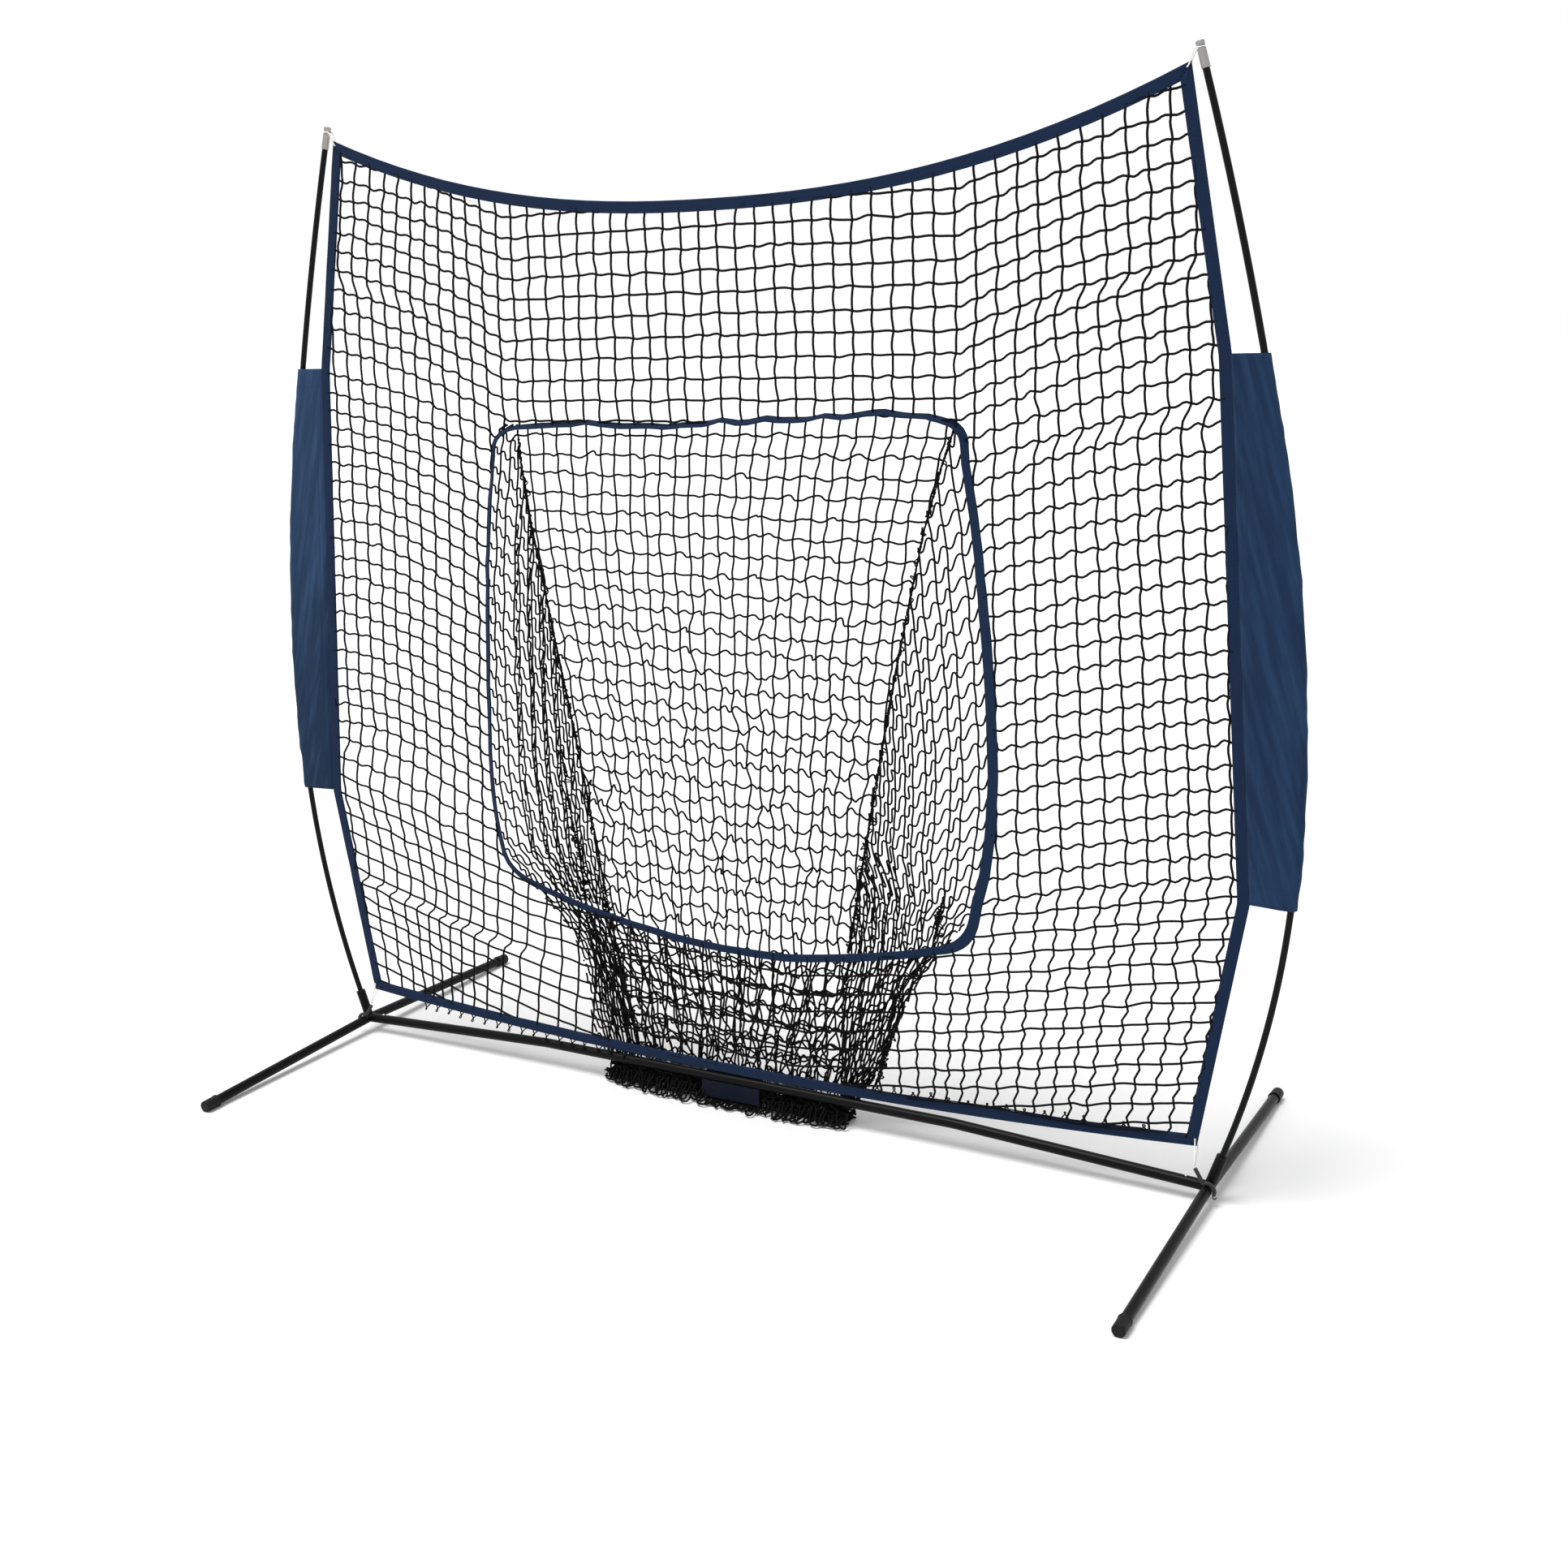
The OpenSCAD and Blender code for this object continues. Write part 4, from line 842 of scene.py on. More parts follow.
low_right = (0.16 * np.clip(x - 150, 0, None) + 0.05 * np.clip(x - 550, 0, None)
             - 13.5 + 0.057 * (341.5 - level_z)) * ease((u + 300) / 600)
lifted = by_level([517, 1504], [19, 0]) * ease((out - 300) / 230)
rise_right = np.where(above_low, climb_right * gentle + lifted, low_right)
rise_left = rise_left + np.where(level_z < LOW, low_right, 0)
z = level_z + np.where(left_side, rise_left, rise_right) + chance.normal(0, 1.4, u.shape)
y = chance.normal(0, 0.35, u.shape)

# how the cords go through the knots: the slope of their rows, and the knots' own turn
slope = np.arctan2(np.gradient(z, axis=1), np.gradient(x, axis=1))
beside = ease((out - 430) / 150)
low_part = ease((np.where(left_side, 520, 540) - level_z) / 120)
upper_part = 1 - low_part
turned = np.where(left_side, 20, by_level([1390, 1600], [34, 18]))
tilt_at_knot = slope - np.radians((9 + (turned - 9) * beside) * upper_part + 5 * left_side * low_part)
pull_at_knot = 50 + 16 * beside * upper_part - 4 * low_part
turned_column = np.where(left_side, -8, 34) * low_part
paths, ties = hung(np.stack([x, y, z], axis=2), face_border, tilt_at_knot, reach_pull=pull_at_knot,
                   drop=np.radians(-11 * upper_part + turned_column),
                   drop_in=np.radians(8 * upper_part + turned_column), drop_pull=1.25, jitter=0.1,
                   steps=(5, 4), seed=3)
corded("face_netting", paths, ties, netting, FACE_CORD, FACE_CORD + 0.5,
       stands_for=("net_top", "net_bottom", "net_left", "net_right"))

# %% [markdown]
# ## Webbing round the face
# The netting is sewn between two layers of navy webbing, 24 mm wide. The tape is drawn as a flat
# lozenge swept along each side of the face: soft folded edges, a little ripple where the netting
# pulls at it, and two rows of lock stitch. The four runs meet at the corners, where the top and
# bottom tapes are sewn over the side tapes.

# %% Webbing
LOZENGE = [(0, 0), (0.02, 0.3), (0.07, 0.46), (0.18, 0.44), (0.3, 0.5)]
LOZENGE += [(1 - s, t) for s, t in LOZENGE[::-1]]
LOZENGE += [(s, -t) for s, t in LOZENGE[-2:0:-1]]
LIFT = 0.15  # how proud of a tape its stitches lie


def resampled(line, step):
    """The same line with points every `step` millimetres."""
    line = np.asarray(line, float)
    run = distance(line)
    at = np.linspace(0, run[-1], max(2, int(round(run[-1] / step)) + 1))
    return np.stack([np.interp(at, run, line[:, k]) for k in range(line.shape[1])], axis=1)


def tape_rings(outer, inner, thick, ripple, seed, twist=None):
    """Sections of a tape between an outer and an inner edge, given as (x, z) lines."""
    side = wobble(len(outer), 3, ripple, seed)
    rings = []
    for i in range(len(outer)):
        middle, across_tape = (outer[i] + inner[i]) / 2, inner[i] - outer[i]
        a = 0.0 if twist is None else math.radians(twist[i])
        width = np.linalg.norm(across_tape)
        ring = []
        for s, t in LOZENGE:
            flat, deep = s - 0.5, t * thick
            in_plane = flat * width * math.cos(a) - deep * math.sin(a)
            off_plane = flat * width * math.sin(a) + deep * math.cos(a)
            p = middle + across_tape / width * in_plane
            ring.append((p[0], -off_plane + side[i], p[1]))
        rings.append(ring)
    return np.array(rings)


def tape_line(rings, share, front=True):
    """A line along a tape, at a share of its width, just proud of its surface."""
    a, b = (3, 6) if front else (15, 12)
    line = rings[:, a] + (rings[:, b] - rings[:, a]) * (share - 0.18) / 0.64
    away = np.cross(rings[:, b] - rings[:, a], np.gradient(line, axis=0))
    away /= np.linalg.norm(away, axis=1)[:, None]
    middle = rings.mean(axis=1)
    return line + away * np.sign(((line - middle) * away).sum(axis=1))[:, None] * LIFT


both_edges = np.hstack([face, grown(face, -BAND_W)])
both_edges = np.vstack([both_edges, both_edges[:1]])
stitch_lines = []
for number, side in enumerate(("top", "right", "bottom", "left")):
    start, end = corners[number], (*corners, len(face))[number + 1]
    edges = resampled(both_edges[start:end + 1], 16)
    rings = tape_rings(edges[:, :2], edges[:, 2:], BAND_T, 0.25, number)
    piece("webbing_" + side, rings, webbing, stands_for=("band_" + side,))
    stitch_lines += [tape_line(rings, share, front) for share in (0.14, 0.86) for front in (True, False)]
sewn("webbing_stitches", stitch_lines, pitch=7.0, length=4.6)

# %% [markdown]
# ## Loops at the bottom tape
# The last row of meshes sticks out of the bottom tape: below its edge on the left, and above it
# on the right, where two cords also lie loose along the tape.

# %% Loops at the bottom tape
LOOP_CORD = 1.5
loops, t = [], np.linspace(0, 1, 11)
bow = np.sin(math.pi * t)
for x0 in np.concatenate([np.arange(-880, -300, 36.0), np.arange(300, 960, 42.0)]):
    way, edge, off = (-1, low_z(x0) + 2, 9) if x0 < 0 else (1, low_z(x0) + BAND_W + 1, 2)
    wide, high = chance.uniform(8, 17), chance.uniform(9, 16)
    loops.append(np.column_stack([x0 + wide * t + 5 * np.sin(2 * math.pi * t), -4 - off * bow,
                                  edge + way * high * bow ** 0.8]))
for low, swing, first, last in ((3.0, 2.5, 330, 940), (-2.0, 5.0, 420, 985)):
    x = np.arange(first, last, 14.0)
    loops.append(np.column_stack([x, -5.2 + 0.6 * np.sin(x / 50),
                                  low_z(x) + BAND_W + low + swing * np.sin(x / 75)]))
corded("tape_loops", loops, np.zeros((0, 3)), netting, LOOP_CORD)

# %% [markdown]
# ## Binding round the window
# A narrower tape of the same cloth, folded over the raw edge of the netting. Nothing stretches
# it, so it turns on edge where the pocket pulls at it, along the top and the left, and lies flat
# along the right side and the bottom.

# %% Window binding
line = resampled(np.vstack([opening, opening[:1]]), 13)[:-1]
line = line + np.stack(pulled(line[:, 0], line[:, 1]), axis=1)
bind_x, bind_z = line.T
flat_side = ease((bind_x - 480) / 80) * ease((1450 - bind_z) / 200)
sideways = (grown(line, 1.0) - line) * (BINDING_W / 2 + 3.5 * flat_side)[:, None]
# how many degrees the binding is turned out of the face's plane, by height: left, then right
turned_by = np.where(bind_x > 0, np.interp(bind_z, [370, 1300, 1450, 1506], [0, -22, 0, 60]),
                     np.interp(bind_z, [370, 470, 700, 1300, 1450, 1506], [8, 24, 30, 28, 34, 60]))
turned_by = turned_by + wobble(len(line), 4, 7, 5) * (0.3 + 0.7 * (turned_by > 30))
rings = tape_rings(line + sideways, line - sideways, BAND_T * 0.8, 1.0, 11, turned_by)
gathered = (1 + 0.8 * np.exp(-((bind_x - 120) / 260) ** 2)) * ease((bind_z - 1440) / 60)
rings[:, :, 2] += (wobble(len(rings), 3, 0.9, 12) * gathered)[:, None]
rings[:, :, 1] += 0.5
piece("window_binding", rings, webbing, loop=True, stands_for=("opening_binding",))
closed = np.vstack([rings, rings[:1]])
sewn("binding_stitches", [tape_line(closed, 0.14), tape_line(closed, 0.86, False)],
     pitch=7.0, length=4.6)

# %% [markdown]
# ## Sleeves
# Each sleeve is one panel of oxford cloth, folded round the pole and sewn to the side tape by a
# double row of stitches, with a hem at each end. The section is a teardrop: round behind the
# pole and two flat sides that meet at the tape. The cloth is pulled sideways by the net, which
# gives it long shallow folds that run down and outwards, and a sharper crease here and there.

# %% Sleeves
HALF_TIP = 1.1  # half the gap between the two sides where they meet at the tape


def sleeve_path(z, n_round=15, n_flat=9):
    """The cloth's middle line at height z, from the tape's front round the pole to its back."""
    c, tip, r = pole.x(z), side_x(z) - 1.5, COUPLER_R + SLEEVE_ROOM + CLOTH_T / 2
    touch = math.degrees(math.acos(min(1, (r - HALF_TIP) / (c - tip))))
    arc = [(c + r * math.cos(math.radians(a)), -r * math.sin(math.radians(a)))
           for a in np.linspace(180 - touch, touch - 180, n_round)]
    start, stop, t = np.array([tip, -HALF_TIP]), np.array([tip, HALF_TIP]), np.linspace(0, 1, n_flat)[:, None]
    return np.concatenate([(start + (arc[0] - start) * t)[:-1], arc, (arc[-1] + (stop - arc[-1]) * t)[1:]])


def sleeve(side, cloth, seed):
    """One sleeve; the lines of its stitches come back."""
    heights = np.linspace(SLEEVE_HIGH, SLEEVE_LOW, 126)
    lean, rings, outside = np.random.default_rng(seed).uniform(1.0, 1.5), [], []
    for z in heights:
        line = sleeve_path(z)
        tangent = np.gradient(line, axis=0)
        normal = np.stack([tangent[:, 1], -tangent[:, 0]], axis=1)
        normal /= np.linalg.norm(normal, axis=1)[:, None]
        behind = len(line) // 2
        normal *= np.sign((line[behind] - [pole.x(z), 0.0]) @ normal[behind])
        share = np.linspace(0, 1, len(line))
        off_tape = np.clip(line[:, 0] - line[0, 0], 0, None)
        fold = np.sin(2 * math.pi * (z / 173 + lean * off_tape / 150) + 1.3 * np.sin(z / 97))
        fold += 0.6 * np.sin(2 * math.pi * (z / 71 - off_tape / 120) + 2.1 * math.sin(z / 41 + 1))
        crease = np.sin(math.pi * (z / 118 - side * off_tape / 74) + 1.6 * math.sin(z / 133))
        fold += 1.5 * (1 - np.abs(crease)) ** 2
        depth = (1.1 + 0.9 * ease((SLEEVE_LOW + 260 - z) / 260)) * np.sin(math.pi * share) ** 0.5
        hem = 0.45 * (1 - ease((min(abs(z - SLEEVE_LOW), abs(z - SLEEVE_HIGH)) - 13) / 4))
        line = line + normal * (0.5 * (1 + fold) * depth + hem)[:, None]
        outer, inner = line + normal * CLOTH_T / 2, line - normal * CLOTH_T / 2
        outer, inner = [np.column_stack([side * p[:, 0], p[:, 1], np.full(len(p), z)])
                        for p in (outer, inner)]
        rings.append(np.vstack([outer, inner[::-1]]))
        outside.append(outer)
    made = piece("sleeve_cloth_" + SIDE_NAMES[side], rings, cloth,
                 stands_for=("sleeve_" + SIDE_NAMES[side],))
    outside = np.array(outside)
    lines = []
    for share, edge, near, lift in ((0.1, 0, 2, -0.35), (0.2, 0, 2, -0.35), (0.1, -1, -3, 0.35)):
        along_tape = outside[:, edge] + (outside[:, near] - outside[:, edge]) * share * 4
        lines.append(along_tape + [0, lift, 0])
    return lines + [outside[5], outside[-6]]


SIDE_NAMES = {-1: "left", 1: "right"}
# the left sleeve gets the lit copy of the cloth, with its painted light
lines = sleeve(1, oxford, 31) + sleeve(-1, lit_oxford, 32)
sewn("sleeve_stitches", lines, pitch=6.0, length=4.2)

# %% [markdown]
# ## The catch pocket
# A separate, looser piece of netting: a back panel that narrows towards the ground, and two
# side panels that join it to the window. It is much bigger than the space it hangs in. The
# back's columns come closer together further down, so its rows have cord to spare and hang in
# waves and then in loops. The side panels are bunched so much that their rows drop almost as
# fast as they run, and their columns stand like chains beside the laced seam. Under the window,
# where those columns lie on each other, every second one is drawn.

# %% Catch pocket
TAPER, CLOSING = 1.19, 0.62  # how the seams come in, and how the columns close up between them


def fall(z):
    """How far down the pocket a height is, from 0 at its top to 1 at the ground."""
    return (POCKET_TOP - z) / (POCKET_TOP - POCKET_LOW)


def seam_x(z):
    """Half the distance between the laced seams at height z."""
    return SEAM_LOW + (SEAM_HIGH - SEAM_LOW) * np.clip(1 - fall(z), 0, None) ** TAPER


def back_y(z):
    """How far behind the face the pocket's back hangs."""
    return NET_BACK + POCKET_DEPTH * (1 - np.clip(1 - fall(z), 0, None) ** 2)


def front_y(z):
    """How far behind the face the pocket's front hangs: it has to pass behind the crossbar."""
    return NET_BACK + (16.5 - NET_BACK) * ease((BAR_Z + 110 - z) / 70)


def outer_x(z, side):
    """The pocket's outer edge on one side: the window's edge, and below it the edge of the slack."""
    by_window = open_x(z) + 2 + side * pulled(side * 600, z)[0]
    slack = np.interp(z, EDGE_Z, EDGE_HALF) + side * np.interp(z, EDGE_Z, EDGE_MIDDLE)
    return np.where(z > SIDE_LOW, by_window, slack)


def drift(z):
    """The pocket's middle hangs a little to the left of the window's, more so further down."""
    return np.interp(z, [45, 250, 400, 1000, 1285, 1415, 1497], [-25, -41, -48, -36, -24, -9, 6])


def lip_z(x):
    """The window's lower edge."""
    return LIP + (WINDOW_LOW - LIP) * ((x + 20) / 500) ** 2 - 3 + pulled(x, 440.0)[1]


def bunched(knots, border, seed, share=0.5, loose=1.0, jitter=0.14, steps=(10, 4)):
    """A net with cord to spare: each row either humps up and dips, or only sags, as it goes on."""
    r = np.random.default_rng(seed)
    shape = knots.shape[:2]
    humps = (np.add.outer(np.arange(shape[0]), np.arange(shape[1])) % 2 == 0) ^ (r.random(shape) < 0.3)
    humps |= r.random(shape) < share - 0.5
    return hung(knots, border, np.radians(40) * loose, np.radians(np.where(humps, 52, -34)) * loose,
                60 * r.uniform(0.75, 1.2, shape), np.where(humps, 92, 56) * r.uniform(0.75, 1.2, shape),
                jitter=jitter, sway=0.09, steps=steps, seed=seed + 1)


u, z = np.meshgrid(38.0 * np.arange(-15, 16) + 9, np.arange(POCKET_TOP + 60, POCKET_LOW - 60, -41.0))
low_down = np.clip(fall(z), 0, 1)
x = u * (seam_x(z) / SEAM_HIGH) ** CLOSING + drift(z) + chance.normal(0, 1.5, u.shape) * (1 + 2.5 * low_down)
z = z - 14 * (1 - (u / SEAM_HIGH) ** 2) * low_down + chance.normal(0, 1.5, u.shape) * (1 + 2.0 * low_down)
y = back_y(z) + 1 + 4 * low_down * np.sin(u / 31 + z / 160)
y = y + chance.normal(0, 1.2, u.shape) * (0.5 + 2 * low_down)


def back_border(p):
    """Positive on the pocket's back."""
    x, z = p[:, 0], p[:, 2]
    between_seams = seam_x(z) + 1 - np.abs(x - drift(z))
    return np.minimum(np.minimum(between_seams, 1504 + pulled(x, z)[1] - z), z - POCKET_LOW - 3)


paths, ties = bunched(np.stack([x, y, z], axis=2), back_border, 8, loose=0.3 + 0.7 * ease(low_down / 0.55))
netted("pocket_back_netting", paths, ties, ("pocket_back",))


def side_netting(side, seed, gaps, rises, widths, hug):
    """One bunched side panel; its columns are counted inwards from the window's edge."""
    r = np.random.default_rng(seed)
    inwards = np.concatenate([[-24, 0], np.cumsum(gaps)]).astype(float)
    lower = np.concatenate([[-20, 0], np.cumsum(rises)]).astype(float)
    d, at_edge = np.meshgrid(inwards, np.arange(POCKET_TOP + 620, POCKET_LOW - 60, -42.0))
    z = at_edge - lower[None, :] + r.normal(0, 1.6, d.shape)

    def seam(z):
        return seam_x(z) + side * drift(z)

    across = outer_x(z, side) - seam(z)
    under = np.clip(d * widths[0] / (outer_x(525.0, side) - seam(525.0)), -0.1, 2)
    under = across * np.sign(under) * np.abs(under) ** (1 + hug * ease((SIDE_LOW - z) / 230))
    run = d * np.interp(z, [525, 620, 1000], [*widths, 1])
    x = outer_x(z, side) - np.where(z < SIDE_LOW, under, run) + r.normal(0, 1.0, d.shape)
    share = np.clip((x - seam(z)) / (across + 1), 0, 1)
    pleat = 5.5 * np.sin(math.pi * share) * np.where(np.arange(len(inwards)) % 2 == 0, 1, -1)[None, :]
    y = back_y(z) + (front_y(z) - back_y(z)) * share + np.maximum(pleat, -4 * (share < 0.9))
    y = np.maximum(y + r.normal(0, 1.3, d.shape), NET_BACK + 1.5)

    def border(p):
        x, z = p[:, 0], p[:, 2]
        return np.minimum(np.minimum(outer_x(z, side) - x, x - seam(z) + 3),
                          np.minimum(POCKET_TOP - z, z - POCKET_LOW - 2))

    def above_lip(p):
        return np.minimum(border(p), p[:, 2] - lip_z(side * p[:, 0]))

    def below_lip(p):
        return np.minimum(border(p), lip_z(side * p[:, 0]) - p[:, 2])

    knots, parts = np.stack([x, y, z], axis=2)[:, ::-1], []
    for part, which, pull, drop_pull in ((knots, above_lip, 76, 1.15), (knots[:, ::2], below_lip, 62, 1.1)):
        pull = pull * r.uniform(0.85, 1.15, part.shape[:2])
        parts.append(hung(part, which, np.radians(-34), reach_pull=pull, drop=np.radians(6),
                          drop_pull=drop_pull, jitter=0.13, sway=0.08, steps=(8, 4),
                          seed=seed + 1 + len(parts)))
    flip = np.array([side, 1, 1])
    netted("pocket_side_netting_" + SIDE_NAMES[side], [path * flip for paths, _ in parts for path in paths],
           np.concatenate([ties for _, ties in parts]) * flip, ("pocket_side_" + SIDE_NAMES[side],))


side_netting(-1, 41, [19, 26, 21, 18, 16, 15, 14, 14, 14] + [14] * 5, [10, 15, 18, 24, 28, 30] + [30] * 8,
             (1.05, 1.1), 0.0)
side_netting(1, 51, [36, 35, 33, 31, 28, 25, 23, 21, 20, 19, 18, 17] + [16] * 6, [28] * 18, (0.74, 0.95), 1.1)

# %% [markdown]
# ## Below the window
# Here the pocket's slack ends up: its front layer and a fold behind it hang down to the ground.
# Both are bunched like the back. The fold's cords lie on each other, so it is drawn with half of
# them, twice as far apart.

# %% Below the window
DROP = 330  # about how far it is from the window's lower edge to the ground


def layer(name, seed, top, half_top, pitch, behind, loose, edge, stands_for=()):
    """One layer between the window's lower edge and the ground, with meshes as wide as high."""
    r = np.random.default_rng(seed)
    s, t = np.meshgrid(np.linspace(-1, 1, int(2 * half_top / pitch)), np.arange(-0.05, 1.05, pitch / DROP))
    x = s * (SEAM_LOW - 2 + (half_top - SEAM_LOW + 2) * np.clip(1 - t, 0, None) ** 1.6)
    lip = top(x)
    z = lip + (POCKET_LOW + 4 - lip) * t
    x = x + np.interp(z, EDGE_Z[:5], EDGE_MIDDLE[:5]) * np.clip(t, 0, 1) ** 0.5 + r.normal(0, loose, x.shape)
    z = z + r.normal(0, loose * 0.7, x.shape)
    y = np.clip(front_y(z) + behind + r.normal(0, 2.5, x.shape), front_y(z) + 1.5, 62)

    def border(p):
        x, z = p[:, 0], p[:, 2]
        return np.minimum(np.minimum(edge(x, z) - 4 - np.abs(x), top(x) + 6 - z), z - POCKET_LOW - 2)

    paths, ties = bunched(np.stack([x, y, z], axis=2), border, seed + 1, share=0.6, jitter=0.25, steps=(9, 4))
    netted(name, paths, ties, stands_for)


layer("pocket_front_netting", 61, lip_z, 440, 43, 4, 2.5,
      lambda x, z: np.where(x > 0, outer_x(z, 1), outer_x(z, -1)), ("pocket_front",))
layer("pocket_fold_netting", 71, lambda x: 352 + 50 * (x / 400) ** 2, 380, 84, 15, 6.0,
      lambda x, z: seam_x(z) + np.sign(x) * drift(z) + np.where(x > 0, 60, 0))

# %% [markdown]
# ## The slack on the ground
# What is left of the pocket lies in folds behind and under the crossbar. The folds are one more
# hung net, laid over a zigzag section, and the front edge spills forwards in scalloped loops.

# %% Slack on the ground
FOLDS = np.array([(-5, 9), (-4, 36), (8, 41), (17, 9), (27, 8), (33, 41), (45, 42), (53, 9), (63, 8),
                  (70, 40), (79, 28), (79, 7)], float)
REST_Z = 4.8  # the middle of a cord that rests on the ground


def narrowing(x):
    """How much of its depth the heap still has at x."""
    return np.sqrt(np.clip(1 - (x / POCKET_FOOT) ** 2, 0.06, None))


def folded_heap(seed, shift):
    """The folds' cords and knots."""
    r = np.random.default_rng(seed)
    section = resampled(FOLDS, 17)
    half = POCKET_FOOT - 5
    x, k = np.meshgrid(np.arange(-half, half, 23.0), np.arange(len(section)))
    t = narrowing(x)
    x = x + r.normal(0, 6, x.shape)
    y = section[k, 0] * (0.4 + 0.6 * t) + shift + r.normal(0, 4, x.shape)
    z = 3 + (section[k, 1] - 3) * (0.55 + 0.45 * t) + r.normal(0, 4, x.shape)
    y, z = np.clip(y, -4, 80 * (0.4 + 0.6 * t)), np.clip(z, 6, 40)
    paths, ties = hung(np.stack([x, y, z], axis=2), lambda p: half - np.abs(p[:, 0]), 0.5, -0.4,
                       38, 44, jitter=0.9, sway=0.5, steps=(5, 4), seed=seed + 1)
    low, high, aside = [-np.inf, -6.5, REST_Z], [np.inf, 82, 42.5], [POCKET_DRIFT, 0, 0]
    return [np.clip(path, low, high) - aside for path in paths], ties - aside


heap_a, ties_a = folded_heap(91, 0)
heap_b, ties_b = folded_heap(93, 5)
spill, t = [], np.linspace(0, 1, 12)
bow = np.sin(math.pi * t)
for x0 in np.arange(-POCKET_FOOT + 10, POCKET_FOOT - 16, 10.0):
    under_flap = -96 < x0 - POCKET_DRIFT < 62
    reach = 9 + 42 * narrowing(x0) * chance.uniform(0.45, 1.0)
    wide, high = chance.uniform(18, 38), 7.5 if under_flap else chance.uniform(14, 38)
    curl = x0 + wide * t + 7 * np.sin(2 * math.pi * t + chance.uniform(0, 6)) * bow
    rise = 4.9 + (high - 4.9) * (1 - bow) ** 1.6 + chance.uniform(0, 2.4) * bow
    spill.append(np.column_stack([np.clip(curl, -POCKET_FOOT, POCKET_FOOT) - POCKET_DRIFT,
                                  -5 - (reach - 5) * bow ** 0.8, rise]))
netted("ground_netting", heap_a + heap_b + spill, np.concatenate([ties_a, ties_b]),
       ("pocket_foot_bundle",))

# %% [markdown]
# ## Laced seams
# The back and side panels are laced together with a thick cord that wraps the two selvedges. It
# reads as a dark, uneven rope with knots and loose tufts of cord, so it is three twisted strands,
# with short curls standing out of it.

# %% Laced seams
SEAM_CORD, SEAM_KNOT = 1.6, 3.2


def smooth_line(points, n=6):
    """A smooth line through points, n steps from each to the next."""
    p = np.asarray(points, float)
    return line_through(p, np.gradient(p, axis=0), n)


def tufted(x, y, z, r, tufts, low=700.0):
    """Three strands wound round a line, with short curls of cord standing out of it."""
    n = len(z)
    uneven = 1 + 0.35 * np.interp(np.arange(n) / 9, np.arange(60), r.normal(0, 1, 60))
    strands = []
    for phase in (0, math.pi, math.pi / 2):
        a = z / 15 * 2 * math.pi + phase + np.interp(np.arange(n) / 14, np.arange(40), r.normal(0, 0.8, 40))
        strands.append(np.column_stack([x + 1.7 * uneven * np.cos(a), y + 1.5 * np.sin(a), z]))
    for at in r.choice(np.arange(8, n - 10), tufts, replace=False):
        reach, way = r.uniform(4, 11) * (1 + 0.7 * (z[at] < low)), r.uniform(0, 2 * math.pi)
        out = np.array([math.cos(way), 0.5 * math.sin(way) + 0.25, r.uniform(-0.9, 0.5)]) * reach
        start = np.array([x[at], y[at], z[at]])
        curl = start + out * 0.9 + [r.uniform(-3, 3), 0, r.uniform(-5, 3)]
        strands.append(smooth_line([start, start + out * 0.55 + [0, 0, 2], curl,
                                    start + out * 0.45 - [0, 0, r.uniform(3, 7)], start - [0, 0, 6]], 3))
    return [np.column_stack([s[:, 0], np.clip(s[:, 1], NET_BACK + 1, 62), np.maximum(s[:, 2], 45)])
            for s in strands]


def lacing(side, seed, tufts, gather):
    """The laced seam of one side, and the gathered strand beside it."""
    r = np.random.default_rng(seed)
    z = np.linspace(POCKET_TOP, POCKET_LOW + 1, 520)
    x, y = side * seam_x(z) + drift(z), back_y(z) + 4.6
    strands = tufted(x, y, z, r, tufts)
    if side > 0:  # low down on the right only one strand is left, and no tufts
        strands = [line for line in strands if len(line) > 100 or line[0, 2] > 390]
        strands[1:3] = [line[line[:, 2] > 385] for line in strands[1:3]]
    points = smooth_line(gather, 22)
    strands += tufted(points[:, 0] + r.normal(0, 0.8, len(points)), points[:, 1], points[:, 2], r,
                      int(len(points) / 2.6))
    knots = np.column_stack([x, y, z])[r.choice(np.arange(5, 515), 70, replace=False)]
    corded("seam_cord_" + SIDE_NAMES[side], strands, knots, netting, SEAM_CORD, SEAM_KNOT,
           stands_for=("seam_lacing_" + SIDE_NAMES[side],))


lacing(-1, 101, 95, [(-458, 34, 770), (-446, 34, 650), (-422, 34, 520), (-413, 33, 430),
                     (-404, 32, 340), (-378, 32, 245), (-350, 32, 150), (-338, 32, 62)])
lacing(1, 103, 70, [(500, 12, 560), (487, 13, 515), (474, 14, 450), (452, 15, 405), (406, 22, 350),
                    (380, 23, 295), (363, 23, 215), (348, 23, 150), (318, 23, 70)])

# %% [markdown]
# ## The flap that ties the net to the crossbar
# A strip of the sleeves' cloth is sewn behind the bottom tape and wrapped once round the
# crossbar. Its end hangs free under the bar and folds forwards, so it is a piece of its own
# that rides on the flap's body. Both have turned hems.

# %% Flap
FLAP_X, FLAP_W, FLAP_T, WRAP_R, FOLD_AT = -12.0, 147.0, 1.5, 11.3, 225.0
FLAP_DROP, FLAP_CUT = 38, 0.045  # how far it hangs, and metres of cloth with its hem
sewn_at = np.array([BAND_T / 2 + 0.3, BOTTOM_EDGE + BAND_W * 0.8])
rise_up = sewn_at - [0, BAR_Z]
first = math.degrees(math.atan2(rise_up[1], rise_up[0]) - math.acos(WRAP_R / math.hypot(*rise_up)))
angles = np.radians(np.linspace(first, FOLD_AT - 360, 30))
hinge_y = (WRAP_R + FLAP_T) * math.cos(math.radians(FOLD_AT)) - 0.3 - FLAP_T / 2
hinge_z = BAR_Z + (WRAP_R + FLAP_T) * math.sin(math.radians(FOLD_AT))
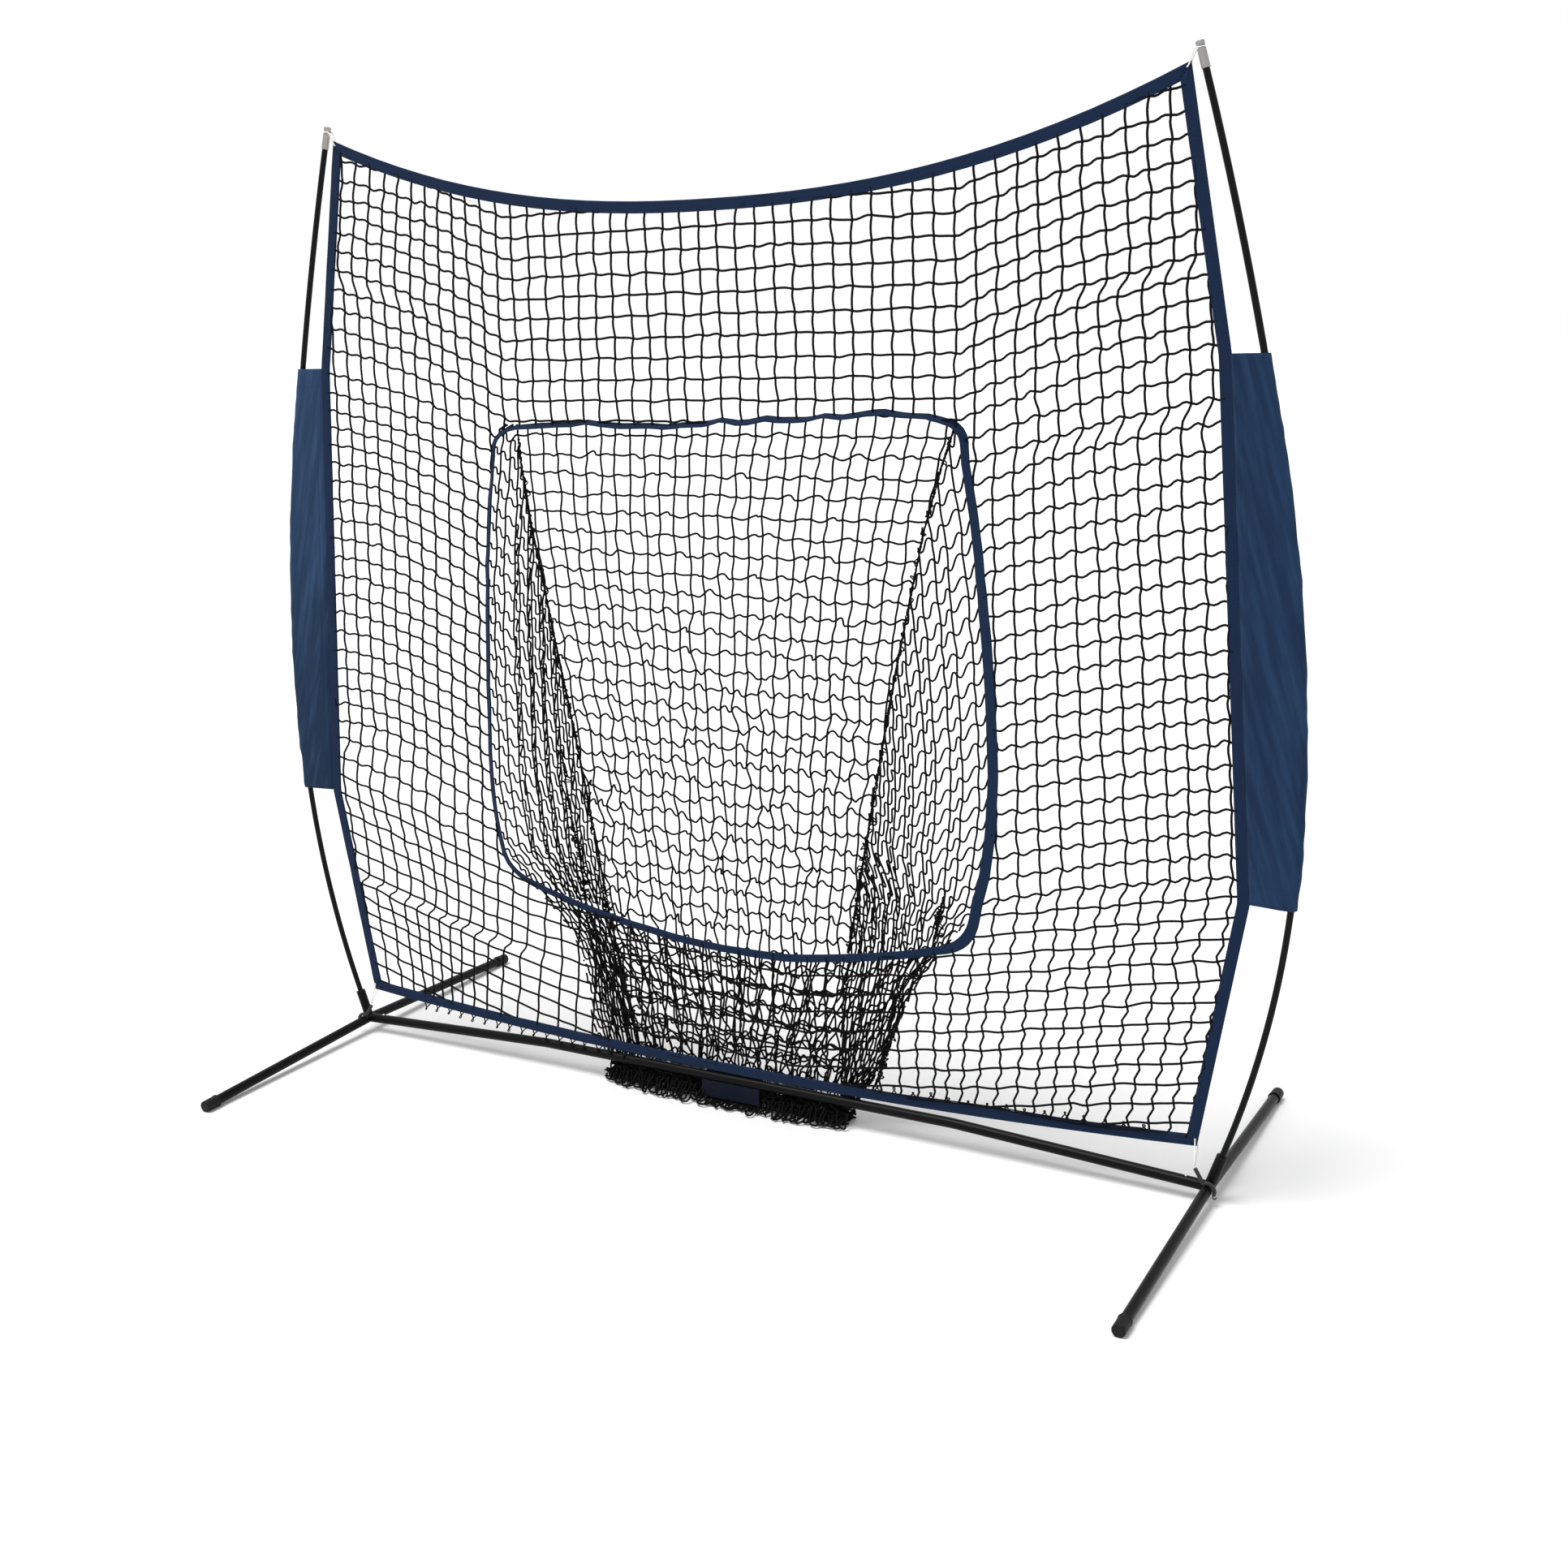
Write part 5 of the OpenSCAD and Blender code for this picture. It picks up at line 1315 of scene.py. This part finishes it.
cloth_x = np.linspace(FLAP_X - FLAP_W / 2, FLAP_X + FLAP_W / 2, 61)


def around(r):
    """The wrap's section at radius r, from its sewn edge down and round the bar."""
    arc = np.column_stack([r * np.cos(angles), BAR_Z + r * np.sin(angles)])
    top = sewn_at + [r - WRAP_R, 0]
    return np.concatenate([(top + (arc[0] - top) * np.linspace(0, 1, 6)[:, None])[:-1], arc])


def cloth_rings(section_at):
    """Sections along the crossbar; section_at takes x and how far x is from the cloth's end."""
    sections = [section_at(x, min(x - cloth_x[0], cloth_x[-1] - x)) for x in cloth_x]
    return np.array([np.column_stack([np.full(len(s), x), s]) for x, s in zip(cloth_x, sections)])


inner, outer = around(WRAP_R), around(WRAP_R + FLAP_T)
swelling = (outer - inner) / FLAP_T * ease(np.arange(len(outer)) / 5)[:, None]


def wrap_section(x, end):
    bulge = 0.35 * (end < 8) + 0.35 * (1 + math.sin(x / 9) * math.sin(x / 23 + 1))
    return np.vstack([outer + swelling * bulge, inner[::-1]])


# the wrap's cloth is darkened with painted shade
wrap = piece("flap_wrap_cloth", cloth_rings(wrap_section), flap_cloth_in_painted_shade,
             stands_for=("flap_wrap",))

drop = np.linspace(0, FLAP_DROP, 20)


def flap_section(x, end):
    hem = 0.18 * (end < 7) + 0.18 * (drop > 31)
    middle = hinge_y + 0.25 * math.sin(x / 17 + 0.6) * ease(drop / FLAP_DROP)
    front, back = middle - FLAP_T / 2 - hem, middle + FLAP_T / 2 + 0.5 * hem
    return np.column_stack([[*front, *back[::-1]], hinge_z - np.array([*drop, *drop[::-1]])])


rings = cloth_rings(flap_section)
# the hanging end's cloth is darkened with painted shade
flap = piece("closing_flap_cloth", rings, flap_cloth_in_painted_shade, body="flap",
             stands_for=("closing_flap",))
seams = [rings[:, 15] - [0, 0.1, 0]]
for x in (cloth_x[0] + 6, cloth_x[-1] - 6):
    seams.append([(x, hinge_y - FLAP_T / 2 - 0.25, z) for z in np.linspace(hinge_z - 1, hinge_z - 37, 10)])
flap_stitches = sewn("closing_flap_stitches", seams, pitch=5, length=3.4, thick=0.7,
                     body="flap")

# %% [markdown]
# ## Corner ties
# White elastic loops hold the top corners on the grooves of the ferrules. At the bottom, white
# elastic goes down to a black shock cord that lies over the foot and ends in a wire hook.

# %% Corner ties
ELASTIC_R, STRAP_R, WIRE_R = 1.4, 4.0, 1.2
STRAP_FRONT = 20.0
LAST = 25  # degrees below level at which the strap leaves the foot


def at_neck(out, back, up):
    """A point beside the ferrule's groove: so far outwards, back, and up along the pole."""
    u = along(tip_lean)
    return (neck[0] + out * u[1] + up * u[0], back, neck[1] - out * u[0] + up * u[1])


sewn_y, loop_r = BAND_T / 2 + 1.5, NECK_D / 2 + ELASTIC_R + 0.15
corner = np.array([top_corner[0] - 3, 0, top_corner[1] - 6])
top_loop = [corner + [-4, -sewn_y, -5], corner + [0, -sewn_y, 0], at_neck(-10, -loop_r, 0)]
top_loop += [at_neck(loop_r * math.cos(a), loop_r * math.sin(a), 0)
             for a in np.linspace(-math.pi / 2, math.pi / 2, 9)]
top_loop += [at_neck(-10, loop_r, 0), corner + [0, sewn_y, 0], corner + [-4, sewn_y, -5]]

# the foot's middle where the strap lies over it: it falls from the corner towards the front
over_r, leg_z = TUBE_R + STRAP_R + 0.9, CORNER_Z - STRAP_FRONT * 20.5 / 545


def over_leg(a):
    """A point of the strap over the foot, at an angle from level."""
    a = math.radians(a)
    return np.array([HALF + over_r * math.cos(a), -STRAP_FRONT, leg_z + over_r * math.sin(a)])


strap_top = over_leg(115) + [-18, 3, 27]
strap = [strap_top, strap_top + [7, -1, -11]] + [over_leg(a) for a in range(115, -LAST - 1, -20)]
low = np.array([bottom_corner[0] - 3, 0, bottom_corner[1] + 8])
knot_at = strap_top + [-1, 0, STRAP_R + ELASTIC_R]
under = np.array([bottom_corner[0] + 1, sewn_y, bottom_corner[1] - 7])
low_loop = [low + [0, -sewn_y, 8], low + [0, -sewn_y, 0], knot_at + [0, -1, 9], knot_at + [0, 0, 0.4],
            knot_at + [0, 3.6, 1.4], knot_at + [0, 4, 9], under, low + [0, sewn_y, 0], low + [0, sewn_y, 8]]
turn_x, turn_z = along(-LAST)
down, out_of = np.array([turn_x, 0, -turn_z]), np.array([turn_z, 0, turn_x])
tip = over_leg(-LAST) + 0.4 * down
wire = [tip] + [tip + (3 + 3.4 * math.sin(a)) * down + 3.4 * (1 - math.cos(a)) * out_of
                for a in np.radians(np.arange(0, 226, 22.5))]
# each tie: its piece, its line, its finish and slot, its radius and sides, and its node
TIES = [("corner_elastic_top_", top_loop, elastic, "white_elastic", ELASTIC_R, 10, "corner_loop_top_"),
        ("corner_elastic_low_", low_loop, elastic, "white_elastic", ELASTIC_R, 10, "corner_loop_bottom_"),
        ("hooked_shock_cord_", strap, shock_cord, "black_strap", STRAP_R, 14, "hook_strap_"),
        ("wire_hook_bent_", wire, hook, "hook_wire", WIRE_R, 10, "wire_hook_")]
for side, side_name in SIDE_NAMES.items():
    for name, line, finish, slot, radius, sides, node in TIES:
        path = smooth_line(np.asarray(line, float) * [side, 1, 1], 3)
        print(f"{name + side_name}: {distance(path)[-1]:.0f} mm long")
        corded(name + side_name, [path], [], finish, radius, sides=sides,
               stands_for=(node + side_name,))
